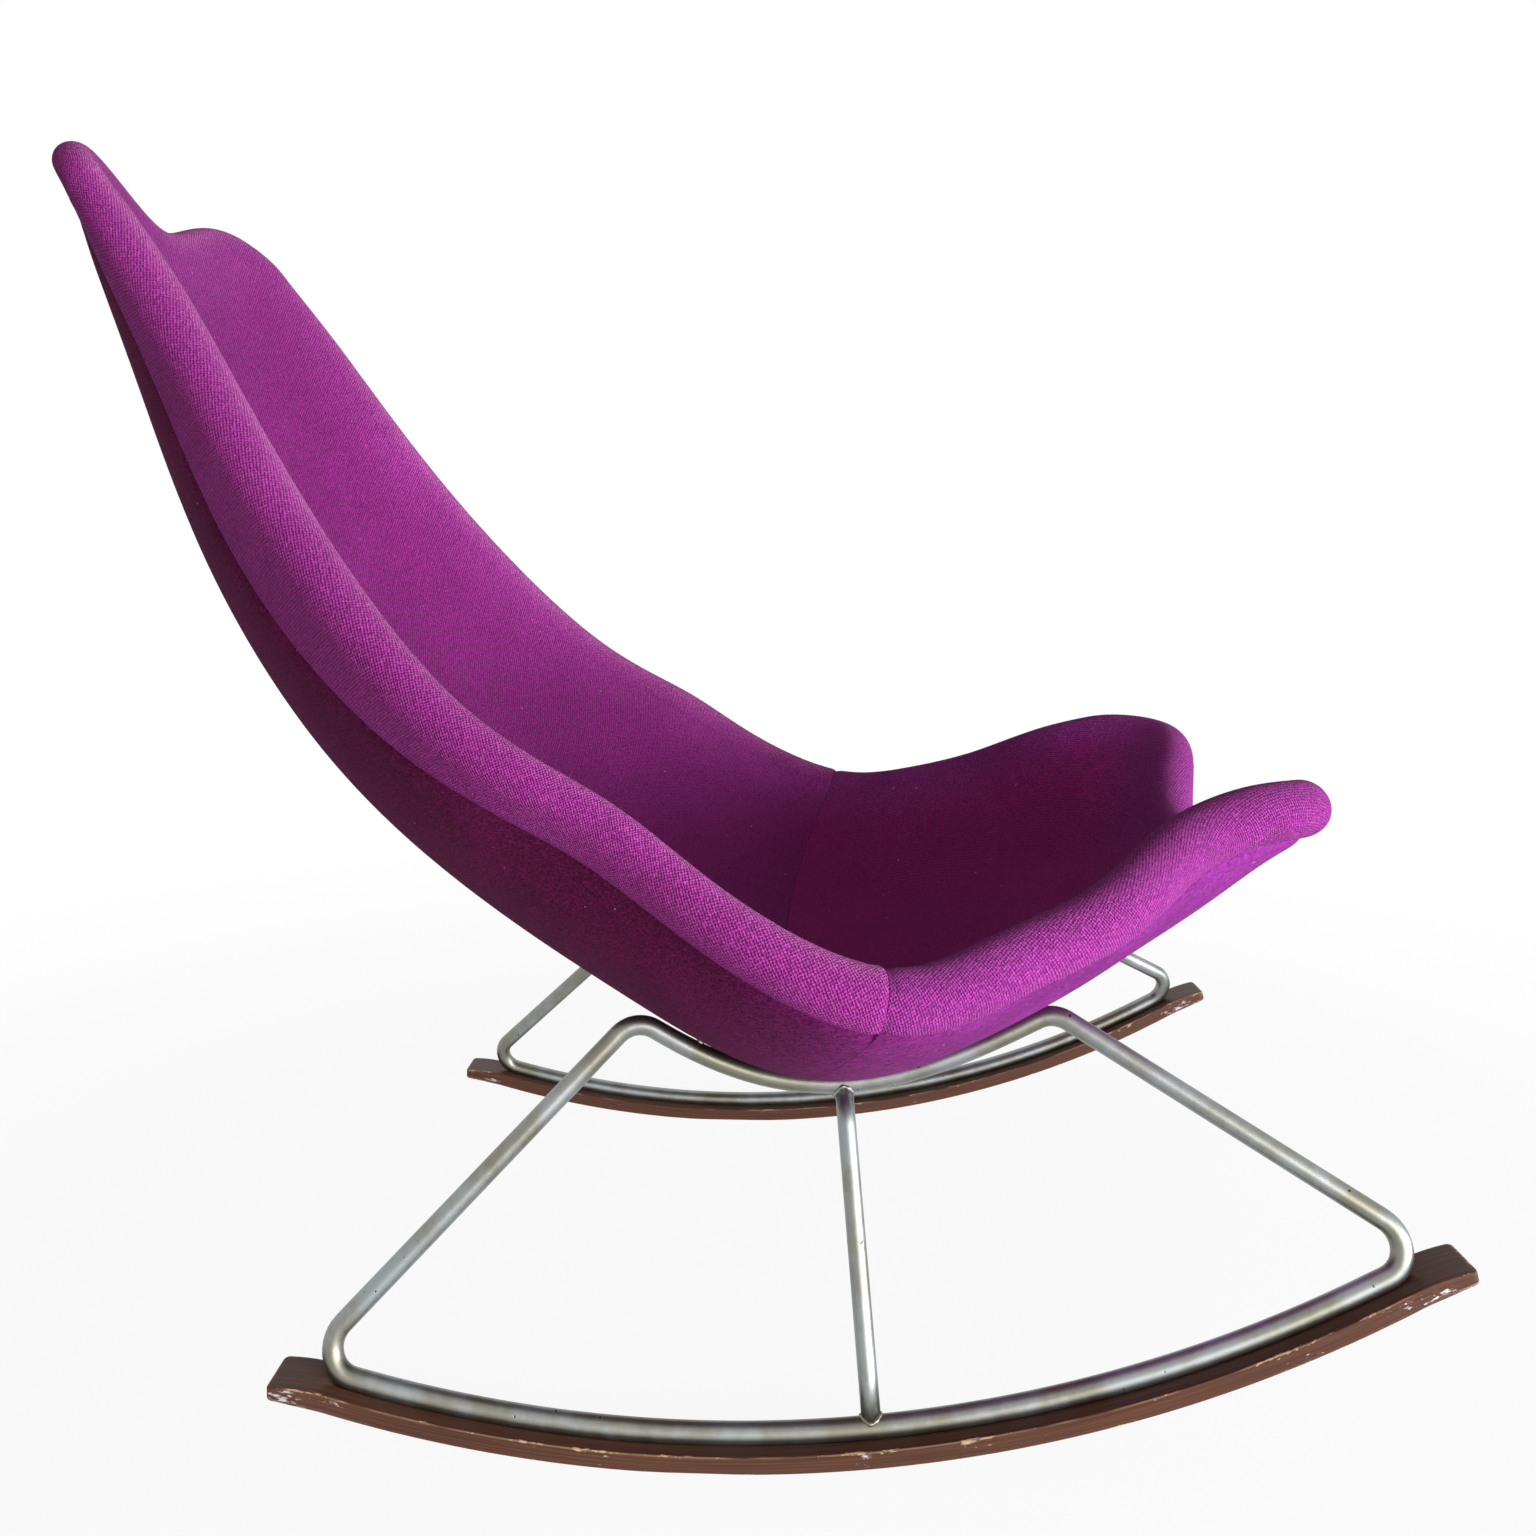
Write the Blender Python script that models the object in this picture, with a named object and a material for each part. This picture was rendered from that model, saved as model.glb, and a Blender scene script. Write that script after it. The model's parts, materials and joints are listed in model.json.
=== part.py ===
"""Upholstered rocking chair: two padded plywood shells on bent steel side frames and wooden rockers.

Units are metres, +Z is up, the chair faces -Y and X runs across it. Shapes are worked out in the
chair's own side view as (forward, across, up) and turned into world points by place().
"""
import math

import bmesh
import bpy
import numpy as np
from mathutils import Vector

# Clearances between neighbouring pieces
FIT_GAP = 0.0003
SEAM_GAP = 0.0005
BAR_GAP = 0.0005

# Padded shell: layer thicknesses, from the sitter's side to the rear
COVER_THICKNESS = 0.0022
FOAM_THICKNESS = 0.0220
PLY_THICKNESS = 0.0090
WADDING_THICKNESS = 0.0060

# Padded shell: the round rim and what ends near it
ROLL_REACH = 0.0140
PLY_INSET = 0.0060
FLAP_LENGTH = 0.0120

# Stations of the shell: centre forward, centre up, edge forward, edge up, half width at the edge,
# and the power of the trough's curve from centre to edge
SHELL_STATIONS = (
    (-0.503, 0.880, -0.476, 0.880, 0.157, 2.3),
    (-0.458, 0.735, -0.395, 0.752, 0.182, 2.2),
    (-0.397, 0.586, -0.300, 0.616, 0.237, 2.2),
    (-0.300, 0.446, -0.179, 0.489, 0.297, 2.3),
    (-0.183, 0.339, -0.074, 0.425, 0.315, 2.4),
    (-0.062, 0.265, 0.007, 0.370, 0.339, 2.4),
    (0.053, 0.231, 0.104, 0.325, 0.354, 3.1),
    (0.150, 0.239, 0.187, 0.333, 0.312, 3.0),
    (0.241, 0.273, 0.262, 0.358, 0.274, 2.6),
    (0.355, 0.324, 0.332, 0.392, 0.221, 2.4),
    (0.415, 0.380, 0.413, 0.415, 0.193, 2.4),
)
HIP_STATION = 6
HEAD_DIP = 0.036
HEAD_CORNER = 0.019
FRONT_DIP = 0.068
FRONT_CORNER = 0.056
HEAD_EAR_PLACE = 0.82
FRONT_EAR_PLACE = 0.82

# Facets of the shell
ACROSS_FACETS = 12
BACK_FACETS = 10
SEAT_FACETS = 7
ROLL_FACETS = 5
LENGTH_SAMPLES = 60

# Rockers
ROCKER_RADIUS = 0.935
ROCKER_WIDTH = 0.035
ROCKER_THICKNESS = 0.0115
ROCKER_HALF_SPAN = 0.265
ROCKER_REAR_ARC = 0.246
ROCKER_FRONT_ARC = 0.455
ROCKER_FLICK_LENGTH = 0.040
ROCKER_FLICK_TURN = math.radians(16.0)
ROCKER_FLICK_FACETS = 4
ROCKER_FACET = 0.030
REST_FLAT = 0.090
ROCKER_EDGE = 0.0015
GROOVE_DEPTH = 0.0025
GROOVE_FACETS = 6

# Side frames, bent from round steel bar
BAR_DIAMETER = 0.014
BAR_SIDES = 10
BAR_FOOT_BEND = 0.020
BAR_TOP_BEND = 0.022
BAR_BEND_STEPS = 5
BAR_FOOT_LEAD = 0.048
BAR_ARC_STEPS = 26
BAR_REAR_FOOT = 0.267
BAR_FRONT_FOOT = 0.473
BAR_TOP_ACROSS = 0.178
BAR_TOP_REAR = 5.23
BAR_TOP_FRONT = 7.64
BAR_TOP_STEPS = 16
STRUT_DIAMETER = 0.013
STRUT_FOOT_FORWARD = 0.111
STRUT_TOP_STATION = 6.34

# Fasteners
ROCKER_SCREW_REAR = -0.180
ROCKER_SCREW_MIDDLE = 0.060
ROCKER_SCREW_FRONT = 0.340
ROCKER_SCREW_HEAD = 0.0080
ROCKER_SCREW_HEAD_HEIGHT = 0.0025
ROCKER_SCREW_SHANK = 0.0040
ROCKER_SCREW_RECESS = 0.0015
ROCKER_SCREW_BITE = 0.0045
BOLT_STATIONS = (5.45, 5.85, 6.65, 7.35)
BOLT_HEAD = 0.0110
BOLT_HEAD_CROWN = 0.0085
BOLT_HEAD_HEIGHT = 0.0035
BOLT_SHANK = 0.0060
BOLT_SEAT_DEPTH = 0.0045
BOLT_TIP_SETBACK = 0.0015
INSERT_DIAMETER = 0.0100
INSERT_SETBACK = 0.0035
INSERT_LENGTH = 0.0045
CUTTER_OVERRUN = 0.0030
FASTENER_SIDES = 8

# Sizes that follow from the ones above
BAR_RADIUS = BAR_DIAMETER / 2
COVER_FRONT = 2 * FIT_GAP + FOAM_THICKNESS + COVER_THICKNESS
PLY_REAR = -PLY_THICKNESS
WADDING_REAR = PLY_REAR - FIT_GAP - WADDING_THICKNESS
COVER_REAR = WADDING_REAR - FIT_GAP - COVER_THICKNESS
BAR_DEPTH = COVER_REAR - BAR_GAP - BAR_RADIUS
BAR_ARC_RADIUS = ROCKER_RADIUS - ROCKER_THICKNESS + GROOVE_DEPTH - BAR_RADIUS
SIDES = (("left", 1.0), ("right", -1.0))


def place(forward, across, up):
    """World points of side-view points: forward is -Y, across is X, up is Z."""
    forward, across, up = np.broadcast_arrays(forward, across, up)
    return np.stack([across, -forward, up], axis=-1)


def spline(values, position):
    """Natural cubic spline through evenly numbered values, read at fractional positions."""
    values = np.asarray(values, float)
    count = len(values)
    system = np.eye(count)
    right = np.zeros_like(values)
    for row in range(1, count - 1):
        system[row, row - 1:row + 2] = (1.0, 4.0, 1.0)
        right[row] = 6.0 * (values[row - 1] - 2.0 * values[row] + values[row + 1])
    bend = np.linalg.solve(system, right)
    position = np.asarray(position, float)
    start = np.clip(np.floor(position).astype(int), 0, count - 2)
    after = (position - start)[..., None]
    before = 1.0 - after
    straight = before * values[start] + after * values[start + 1]
    curve = (before**3 - before) * bend[start] + (after**3 - after) * bend[start + 1]
    return straight + curve / 6.0


def shell_point(position, share):
    """Point of the plywood's front face: position counts stations, share runs -1 to 1 across."""
    station = spline(SHELL_STATIONS, position)
    rise = np.abs(share)**station[..., 5]
    forward = station[..., 0] + (station[..., 2] - station[..., 0]) * rise
    up = station[..., 1] + (station[..., 3] - station[..., 1]) * rise
    return place(forward, station[..., 4] * share, up)


def shell_normal(position, share):
    """Unit normal of the plywood's front face, towards the sitter."""
    step = 1e-4
    along = shell_point(position + step, share) - shell_point(position - step, share)
    across = shell_point(position, share + step) - shell_point(position, share - step)
    return unit(np.cross(along, across))


def unit(vectors):
    """Vectors scaled to length one."""
    return vectors / np.linalg.norm(vectors, axis=-1, keepdims=True)


def end_offset(share, dip, corner, ear):
    """How far a shell's free edge lies in from its ears, as a length: a dip between rounded ears."""
    share = np.abs(share)
    hollow = dip * (1.0 - np.minimum(share / ear, 1.0)**2)**2
    round_off = np.clip((share - ear) / (1.0 - ear), 0.0, 1.0)
    return hollow + corner * (1.0 - np.sqrt(1.0 - round_off**2))


def station_length(first, last):
    """Length of one station step, averaged along the shell's centre line."""
    ends = shell_point(np.linspace(first, last, LENGTH_SAMPLES), np.zeros(LENGTH_SAMPLES))
    return np.linalg.norm(np.diff(ends, axis=0), axis=1).sum() / abs(last - first)


class Shell:
    """Grid of the plywood's front face, from the hip seam to the free edge, with its rim frame."""

    def __init__(self, hip, end, facets, dip, corner, ear):
        turn = math.copysign(1.0, end - hip)
        step = station_length(hip, end)
        share = np.sin(np.linspace(-1.0, 1.0, ACROSS_FACETS + 1) * math.pi / 2)
        rows = np.linspace(0.0, 1.0, facets + 1)[:, None]
        start = hip + turn * SEAM_GAP / (2 * step)
        stop = end - turn * end_offset(share, dip, corner, ear) / step
        position = start + (stop - start) * rows
        share = np.broadcast_to(share, position.shape)
        self.points = shell_point(position, share)
        self.normals = shell_normal(position, share)
        self.rows, self.columns = position.shape
        self.rim = self.rim_indices()
        self.out = self.rim_directions()

    def rim_indices(self):
        """Flat indices of the rim: up one side from the hip, along the free edge, down the other."""
        number = np.arange(self.rows * self.columns).reshape(self.rows, self.columns)
        return np.concatenate([number[:-1, 0], number[-1], number[-2::-1, -1]])

    def rim_directions(self):
        """Unit directions that leave the rim in the surface, square to the rim."""
        path = self.points.reshape(-1, 3)[self.rim]
        normal = self.normals.reshape(-1, 3)[self.rim]
        out = unit(np.cross(np.gradient(path, axis=0), normal))
        away = path - self.points.reshape(-1, 3).mean(axis=0)
        return out * np.sign((out * away).sum(axis=-1).mean())

    def sheet(self, depth, profile):
        """Vertices of the face at one depth, followed by rim rows at (reach, depth) places."""
        grid = (self.points + depth * self.normals).reshape(-1, 3)
        edge = self.points.reshape(-1, 3)[self.rim]
        normal = self.normals.reshape(-1, 3)[self.rim]
        rim = [edge + reach * self.out + level * normal for reach, level in profile]
        return np.concatenate([grid] + rim)

    def sheet_triangles(self, rim_rows):
        """Triangles of one sheet: the grid, then a strip from its rim through every rim row."""
        grid = np.arange(self.rows * self.columns).reshape(self.rows, self.columns)
        first = self.rows * self.columns
        strips = first + np.arange(rim_rows * len(self.rim)).reshape(rim_rows, -1)
        return np.concatenate([quads(grid), quads(np.vstack([self.rim, strips]))])

    def solid(self, front_depth, front_profile, rear_depth, rear_profile):
        """Closed solid between two sheets that have the same number of rim rows."""
        front = self.sheet(front_depth, front_profile)
        rear = self.sheet(rear_depth, rear_profile)
        skin = self.sheet_triangles(len(front_profile))
        wall = bridge(open_edges(skin), len(front))
        faces = np.concatenate([skin, skin[:, ::-1] + len(front), wall])
        return np.concatenate([front, rear]), faces


def quads(number):
    """Two triangles for each cell of a grid of vertex numbers."""
    a, b = number[:-1, :-1].ravel(), number[:-1, 1:].ravel()
    c, d = number[1:, 1:].ravel(), number[1:, :-1].ravel()
    return np.concatenate([np.stack([a, b, c], axis=1), np.stack([a, c, d], axis=1)])


def open_edges(triangles):
    """Directed edges that only one triangle uses."""
    edges = np.concatenate([triangles[:, [0, 1]], triangles[:, [1, 2]], triangles[:, [2, 0]]])
    seen = {tuple(edge) for edge in edges}
    return np.array([edge for edge in edges if (edge[1], edge[0]) not in seen])


def bridge(edges, shift):
    """Wall triangles between an open border and its copy, whose numbers are higher by shift."""
    a, b = edges[:, 0], edges[:, 1]
    far_a, far_b = a + shift, b + shift
    return np.concatenate([np.stack([b, a, far_a], axis=1), np.stack([b, far_a, far_b], axis=1)])


def roll(front, rear):
    """Half-round rim rows from the front depth to the rear depth, on the roll's centre line."""
    middle, radius = (front + rear) / 2, (front - rear) / 2
    angle = np.linspace(0.0, math.pi, ROLL_FACETS + 1)
    return list(zip(ROLL_REACH + radius * np.sin(angle), middle + radius * np.cos(angle)))


def material(name, colour, roughness, metallic=0.0):
    """Principled material with one colour."""
    made = bpy.data.materials.new(name)
    made.use_nodes = True
    shader = made.node_tree.nodes["Principled BSDF"]
    shader.inputs["Base Color"].default_value = (*colour, 1.0)
    shader.inputs["Roughness"].default_value = roughness
    shader.inputs["Metallic"].default_value = metallic
    return made


def add_object(name, points, faces, finish, smooth_angle=40.0):
    """Closed mesh object with outward faces, carried by the chair's origin."""
    mesh = bpy.data.meshes.new(name)
    mesh.from_pydata([tuple(point) for point in points], [], [tuple(face) for face in faces])
    work = bmesh.new()
    work.from_mesh(mesh)
    bmesh.ops.recalc_face_normals(work, faces=work.faces)
    work.to_mesh(mesh)
    work.free()
    mesh.shade_smooth()
    mesh.set_sharp_from_angle(angle=math.radians(smooth_angle))
    mesh.materials.append(finish)
    made = bpy.data.objects.new(name, mesh)
    bpy.context.collection.objects.link(made)
    made.parent = CHAIR
    return made


def add_cutter(name, solids):
    """Hidden object that holds several cutting solids."""
    points, faces, count = [], [], 0
    for solid_points, solid_faces in solids:
        points.extend(solid_points)
        faces.extend([tuple(np.asarray(face) + count) for face in solid_faces])
        count += len(solid_points)
    cutter = add_object(name, points, faces, FINISHES["steel"])
    cutter.hide_render = True
    cutter.display_type = "WIRE"
    return cutter


def cut(target, cutter):
    """Live Boolean difference."""
    boolean = target.modifiers.new(cutter.name, "BOOLEAN")
    boolean.operation = "DIFFERENCE"
    boolean.solver = "EXACT"
    boolean.object = cutter


def turned(base, axis, profile, sides=FASTENER_SIDES):
    """Solid turned about an axis: profile lists (height along the axis, radius), end to end."""
    turn = Vector(axis).to_track_quat("Z", "Y").to_matrix()
    angle = np.arange(sides) * 2 * math.pi / sides
    ring = np.stack([np.cos(angle), np.sin(angle)], axis=1)
    rows = [np.column_stack([ring * radius, np.full(sides, height)]) for height, radius in profile]
    points = np.asarray(base) + np.concatenate(rows) @ np.array(turn).T
    faces = ring_faces(len(profile), sides)
    caps = [tuple(range(sides))[::-1], tuple(range(len(points) - sides, len(points)))]
    return points, [tuple(face) for face in faces] + caps


def ring_faces(rows, sides):
    """Quads between neighbouring rings of a tube."""
    number = np.arange(rows * sides).reshape(rows, sides)
    after = np.roll(number, -1, axis=1)
    return np.stack([number[:-1], after[:-1], after[1:], number[1:]], axis=-1).reshape(-1, 4)


def bored(base, axis, length, outer, inner, sides=FASTENER_SIDES):
    """Plain bush: a tube with an open bore."""
    profile = [(0.0, outer), (length, outer), (length, inner), (0.0, inner)]
    points, faces = turned(base, axis, profile, sides)
    walls = faces[:-2]
    number = np.arange(len(points)).reshape(len(profile), sides)
    after = np.roll(number, -1, axis=1)
    closing = np.stack([number[-1], after[-1], after[0], number[0]], axis=-1)
    return points, walls + [tuple(face) for face in closing]


def swept_loop(path, radius, sides):
    """Round bar along a closed path, with a frame carried along it without twisting."""
    tangent = unit(np.roll(path, -1, axis=0) - np.roll(path, 1, axis=0))
    across = np.array([1.0, 0.0, 0.0])
    side = unit(across - (tangent @ across)[:, None] * tangent)
    other = np.cross(tangent, side)
    angle = np.arange(sides) * 2 * math.pi / sides
    points = (path[:, None] + radius * (np.cos(angle)[None, :, None] * side[:, None]
                                        + np.sin(angle)[None, :, None] * other[:, None]))
    number = np.arange(len(path) * sides).reshape(len(path), sides)
    ahead, after = np.roll(number, -1, axis=0), np.roll(number, -1, axis=1)
    corner = np.roll(ahead, -1, axis=1)
    return points.reshape(-1, 3), np.stack([number, after, corner, ahead], axis=-1).reshape(-1, 4)


def rounded_path(corners):
    """Closed path through (point, bend radius) corners, each corner replaced by an arc."""
    path = []
    count = len(corners)
    for number, (point, radius) in enumerate(corners):
        point = np.asarray(point, float)
        if radius == 0.0:
            path.append(point)
            continue
        back = unit(np.asarray(corners[number - 1][0]) - point)
        ahead = unit(np.asarray(corners[(number + 1) % count][0]) - point)
        half = math.acos(float(np.clip(back @ ahead, -1.0, 1.0))) / 2
        centre = point + unit(back + ahead) * radius / math.sin(half)
        start = point + back * radius / math.tan(half) - centre
        stop = point + ahead * radius / math.tan(half) - centre
        sweep = math.pi - 2 * half
        for share in np.linspace(0.0, 1.0, BAR_BEND_STEPS + 1):
            weights = math.sin((1 - share) * sweep), math.sin(share * sweep)
            path.append(centre + (weights[0] * start + weights[1] * stop) / math.sin(sweep))
    return np.array(path)


def build_shell_layers(names, shell):
    """Cover, foam, plywood, wadding and rear cover of one shell.

    Layers that lie on each other share the rim row at the seam, so that their facets stay parallel.
    """
    inner_front, inner_rear = COVER_FRONT - COVER_THICKNESS, COVER_REAR + COVER_THICKNESS
    flap = ROLL_REACH - FLAP_LENGTH
    add_object(names["front_cover"], *shell.solid(
        COVER_FRONT, roll(COVER_FRONT, COVER_REAR) + [(flap, COVER_REAR)],
        inner_front, roll(inner_front, inner_rear) + [(flap, inner_rear)]), FINISHES["fabric"])
    seam = flap - SEAM_GAP
    ply_edge = ROLL_REACH - PLY_INSET
    foam_front, foam_edge = inner_front - FIT_GAP, ply_edge + FIT_GAP
    foam_under = zip(np.linspace(foam_edge, ROLL_REACH, ROLL_FACETS)[:-1],
                     np.linspace(PLY_REAR - FIT_GAP, WADDING_REAR, ROLL_FACETS)[:-1])
    foam_inner = [(seam, FIT_GAP), (foam_edge, FIT_GAP)] + list(foam_under)
    add_object(names["foam"], *shell.solid(
        foam_front, roll(foam_front, WADDING_REAR), FIT_GAP, foam_inner), FINISHES["foam"])
    layers = (("ply", 0.0, PLY_REAR, (seam, ply_edge), "ply"),
              ("wadding", PLY_REAR - FIT_GAP, WADDING_REAR, (seam,), "wadding"),
              ("rear_cover", inner_rear, COVER_REAR, (seam,), "fabric"))
    for layer, front, rear, reaches, finish in layers:
        front_rows = [(reach, front) for reach in reaches]
        rear_rows = [(reach, rear) for reach in reaches]
        add_object(names[layer], *shell.solid(front, front_rows, rear, rear_rows), FINISHES[finish])


def rocker_path():
    """Bottom line of a rocker as (forward, up, heading): an arc on the floor with flicked ends."""
    rear = math.asin(ROCKER_REAR_ARC / ROCKER_RADIUS)
    front = math.asin(ROCKER_FRONT_ARC / ROCKER_RADIUS)
    step = ROCKER_FACET / ROCKER_RADIUS
    angles = (np.arange(-math.floor(rear / step), math.ceil(front / step)) + 0.5) * step
    angles = np.concatenate([[-rear], angles[(angles > -rear) & (angles < front)], [front]])
    arc = np.stack([ROCKER_RADIUS * np.sin(angles), ROCKER_RADIUS * (1 - np.cos(angles)), angles], axis=1)
    return np.concatenate([flick(arc[0], -1.0)[::-1], arc, flick(arc[-1], 1.0)])


def flick(start, turn):
    """Points past an arc's end, where the rocker bends back towards level."""
    steps = ROCKER_FLICK_FACETS
    points = []
    forward, up, heading = start
    target = heading - turn * ROCKER_FLICK_TURN
    for number in range(steps):
        share = (number + 0.5) / steps
        middle = heading + (target - heading) * share
        forward += turn * math.cos(middle) * ROCKER_FLICK_LENGTH / steps
        up += turn * math.sin(middle) * ROCKER_FLICK_LENGTH / steps
        points.append((forward, up, heading + (target - heading) * (number + 1) / steps))
    return np.array(points)


def rocker_section(grooved):
    """Cross-section of a rocker as (across, height): a strip, with a groove on top if a bar lies there."""
    half, edge = ROCKER_WIDTH / 2, ROCKER_EDGE
    groove = BAR_RADIUS + FIT_GAP
    centre = ROCKER_THICKNESS - GROOVE_DEPTH + BAR_RADIUS
    spread = math.acos((BAR_RADIUS - GROOVE_DEPTH) / groove)
    hollow = [(-groove * math.sin(turn), centre - groove * math.cos(turn) if grooved else ROCKER_THICKNESS)
              for turn in np.linspace(-spread, spread, GROOVE_FACETS + 1)]
    return [(-half, edge), (-half + edge, 0.0), (half - edge, 0.0), (half, edge),
            (half, ROCKER_THICKNESS - edge), (half - edge, ROCKER_THICKNESS)] + hollow + [
            (-half + edge, ROCKER_THICKNESS), (-half, ROCKER_THICKNESS - edge)]


def build_rocker(side, sign, cutter):
    """One bent wooden rocker, planed flat below the place where the chair comes to rest."""
    path = rocker_path()
    grooved = (path[:, 0] >= -BAR_REAR_FOOT) & (path[:, 0] <= BAR_FRONT_FOOT)
    section = np.array([rocker_section(row) for row in grooved])
    across, height = section[..., 0], section[..., 1]
    forward = path[:, :1] - np.sin(path[:, 2:]) * height
    up = path[:, 1:2] + np.cos(path[:, 2:]) * height
    points = place(forward, sign * ROCKER_HALF_SPAN + across, planed(up)).reshape(-1, 3)
    sides = across.shape[1]
    faces = [tuple(face) for face in ring_faces(len(path), sides)]
    faces += [tuple(range(sides)), tuple(range(len(points) - sides, len(points)))]
    rocker = add_object("rocker_" + side, points, faces, FINISHES["rocker_wood"], 30.0)
    cut(rocker, cutter)


def planed(up):
    """Heights raised to the flat that is planed under the rest point."""
    return np.maximum(up, ROCKER_RADIUS - math.sqrt(ROCKER_RADIUS**2 - (REST_FLAT / 2)**2))


def bar_arc_point(forward):
    """Centre of the frame's bottom bar above a forward place on the rocker, as (forward, up)."""
    return forward, ROCKER_RADIUS - math.sqrt(BAR_ARC_RADIUS**2 - forward**2)


def bar_foot(forward):
    """Last arc point before a foot, and the foot's height on the tangent that leaves it."""
    base = forward - math.copysign(BAR_FOOT_LEAD, forward)
    base_forward, base_up = bar_arc_point(base)
    slope = base_forward / (ROCKER_RADIUS - base_up)
    return base, base_up + slope * (forward - base)


def bar_top_point(position, sign, depth=None):
    """Point below the shell on the line that a frame's top bar follows, and the shell's normal."""
    position = np.asarray(position, float)
    half_width = spline(SHELL_STATIONS, position)[..., 4]
    share = sign * BAR_TOP_ACROSS / half_width
    normal = shell_normal(position, share)
    depth = BAR_DEPTH if depth is None else depth
    return shell_point(position, share) + depth * normal, normal


def frame_path(sign):
    """Centre line of a side frame: bottom arc, front leg, bar under the shell and rear leg."""
    across = sign * ROCKER_HALF_SPAN
    rear_base, rear_up = bar_foot(-BAR_REAR_FOOT)
    front_base, front_up = bar_foot(BAR_FRONT_FOOT)
    bottom = [bar_arc_point(forward) for forward in np.linspace(rear_base, front_base, BAR_ARC_STEPS + 1)]
    top, _ = bar_top_point(np.linspace(BAR_TOP_FRONT, BAR_TOP_REAR, BAR_TOP_STEPS), sign)
    front_shoulder = top[0] + unit(top[0] - top[1]) * BAR_TOP_BEND
    rear_shoulder = top[-1] + unit(top[-1] - top[-2]) * BAR_TOP_BEND
    corners = [(place(forward, across, up), 0.0) for forward, up in bottom]
    corners += [(place(BAR_FRONT_FOOT, across, front_up), BAR_FOOT_BEND), (front_shoulder, BAR_TOP_BEND)]
    corners += [(point, 0.0) for point in top]
    corners += [(rear_shoulder, BAR_TOP_BEND), (place(-BAR_REAR_FOOT, across, rear_up), BAR_FOOT_BEND)]
    return rounded_path(corners)


def build_frame(side, sign, cutters):
    """One side frame with its strut."""
    path = frame_path(sign)
    frame = add_object("side_frame_" + side, *swept_loop(path, BAR_RADIUS, BAR_SIDES), FINISHES["steel"])
    for cutter in cutters:
        cut(frame, cutter)
    relief = add_cutter("strut_relief_" + side, [swept_loop(path, BAR_RADIUS + FIT_GAP, BAR_SIDES)])
    foot = place(*spread_point(bar_arc_point(STRUT_FOOT_FORWARD), sign * ROCKER_HALF_SPAN))
    top, _ = bar_top_point(STRUT_TOP_STATION, sign)
    length = float(np.linalg.norm(top - foot))
    radius = STRUT_DIAMETER / 2
    strut = turned(foot, unit(top - foot), [(0.0, radius), (length, radius)], BAR_SIDES)
    cut(add_object("strut_" + side, *strut, FINISHES["steel"]), relief)


def spread_point(side_point, across):
    """Side-view (forward, up) with its across place between them."""
    return side_point[0], across, side_point[1]


def build_rocker_screws(side, sign):
    """Screws from under a rocker up into the bar, and the cutter for their holes."""
    holes = []
    places = (ROCKER_SCREW_REAR, ROCKER_SCREW_MIDDLE, ROCKER_SCREW_FRONT)
    for number, forward in enumerate(places, start=1):
        angle = math.asin(forward / ROCKER_RADIUS)
        base = place(forward, sign * ROCKER_HALF_SPAN, ROCKER_RADIUS * (1 - math.cos(angle)))
        axis = place(-math.sin(angle), 0.0, math.cos(angle))
        head, shank = ROCKER_SCREW_HEAD / 2, ROCKER_SCREW_SHANK / 2
        seat = ROCKER_SCREW_RECESS + ROCKER_SCREW_HEAD_HEIGHT
        tip = ROCKER_THICKNESS - GROOVE_DEPTH + ROCKER_SCREW_BITE
        screw = [(ROCKER_SCREW_RECESS, head), (seat, head), (seat, shank), (tip, shank)]
        add_object(f"rocker_screw_{side}_{number}", *turned(base, axis, screw), FINISHES["screw"])
        hole = [(-CUTTER_OVERRUN, head + FIT_GAP), (seat + FIT_GAP, head + FIT_GAP),
                (seat + FIT_GAP, shank + FIT_GAP), (tip + FIT_GAP, shank + FIT_GAP)]
        holes.append(turned(base, axis, hole))
    return add_cutter("rocker_screw_holes_" + side, holes)


def build_shell_bolts(side, sign):
    """Bolts through a frame's top bar into threaded inserts in the plywood, and their cutters."""
    bolt_holes, insert_holes = [], []
    for number, station in enumerate(BOLT_STATIONS, start=1):
        centre, normal = bar_top_point(station, sign)
        seat = -BAR_RADIUS + BOLT_SEAT_DEPTH
        tip = -BAR_DEPTH - BOLT_TIP_SETBACK
        head, shank, insert = BOLT_HEAD / 2, BOLT_SHANK / 2, INSERT_DIAMETER / 2
        under = seat - FIT_GAP
        bolt = [(under - BOLT_HEAD_HEIGHT, BOLT_HEAD_CROWN / 2), (under - BOLT_HEAD_HEIGHT / 2, head),
                (under, head), (under, shank), (tip, shank)]
        add_object(f"shell_bolt_{side}_{number}", *turned(centre, normal, bolt), FINISHES["screw"])
        wide = head + FIT_GAP
        bore = shank + FIT_GAP
        bolt_holes.append(turned(centre, normal, [(-BAR_RADIUS - CUTTER_OVERRUN, wide), (seat, wide),
                                                  (seat, bore), (tip + FIT_GAP, bore)]))
        start = -BAR_DEPTH + PLY_REAR + INSERT_SETBACK
        base = centre + start * normal
        bush = bored(base, normal, INSERT_LENGTH, insert, bore)
        add_object(f"threaded_insert_{side}_{number}", *bush, FINISHES["screw"])
        wall = insert + FIT_GAP
        insert_holes.append(turned(base, normal, [(-INSERT_SETBACK - CUTTER_OVERRUN, wall),
                                                  (PLY_THICKNESS + CUTTER_OVERRUN, wall)]))
    return (add_cutter("shell_bolt_holes_" + side, bolt_holes),
            add_cutter("insert_holes_" + side, insert_holes))


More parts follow.
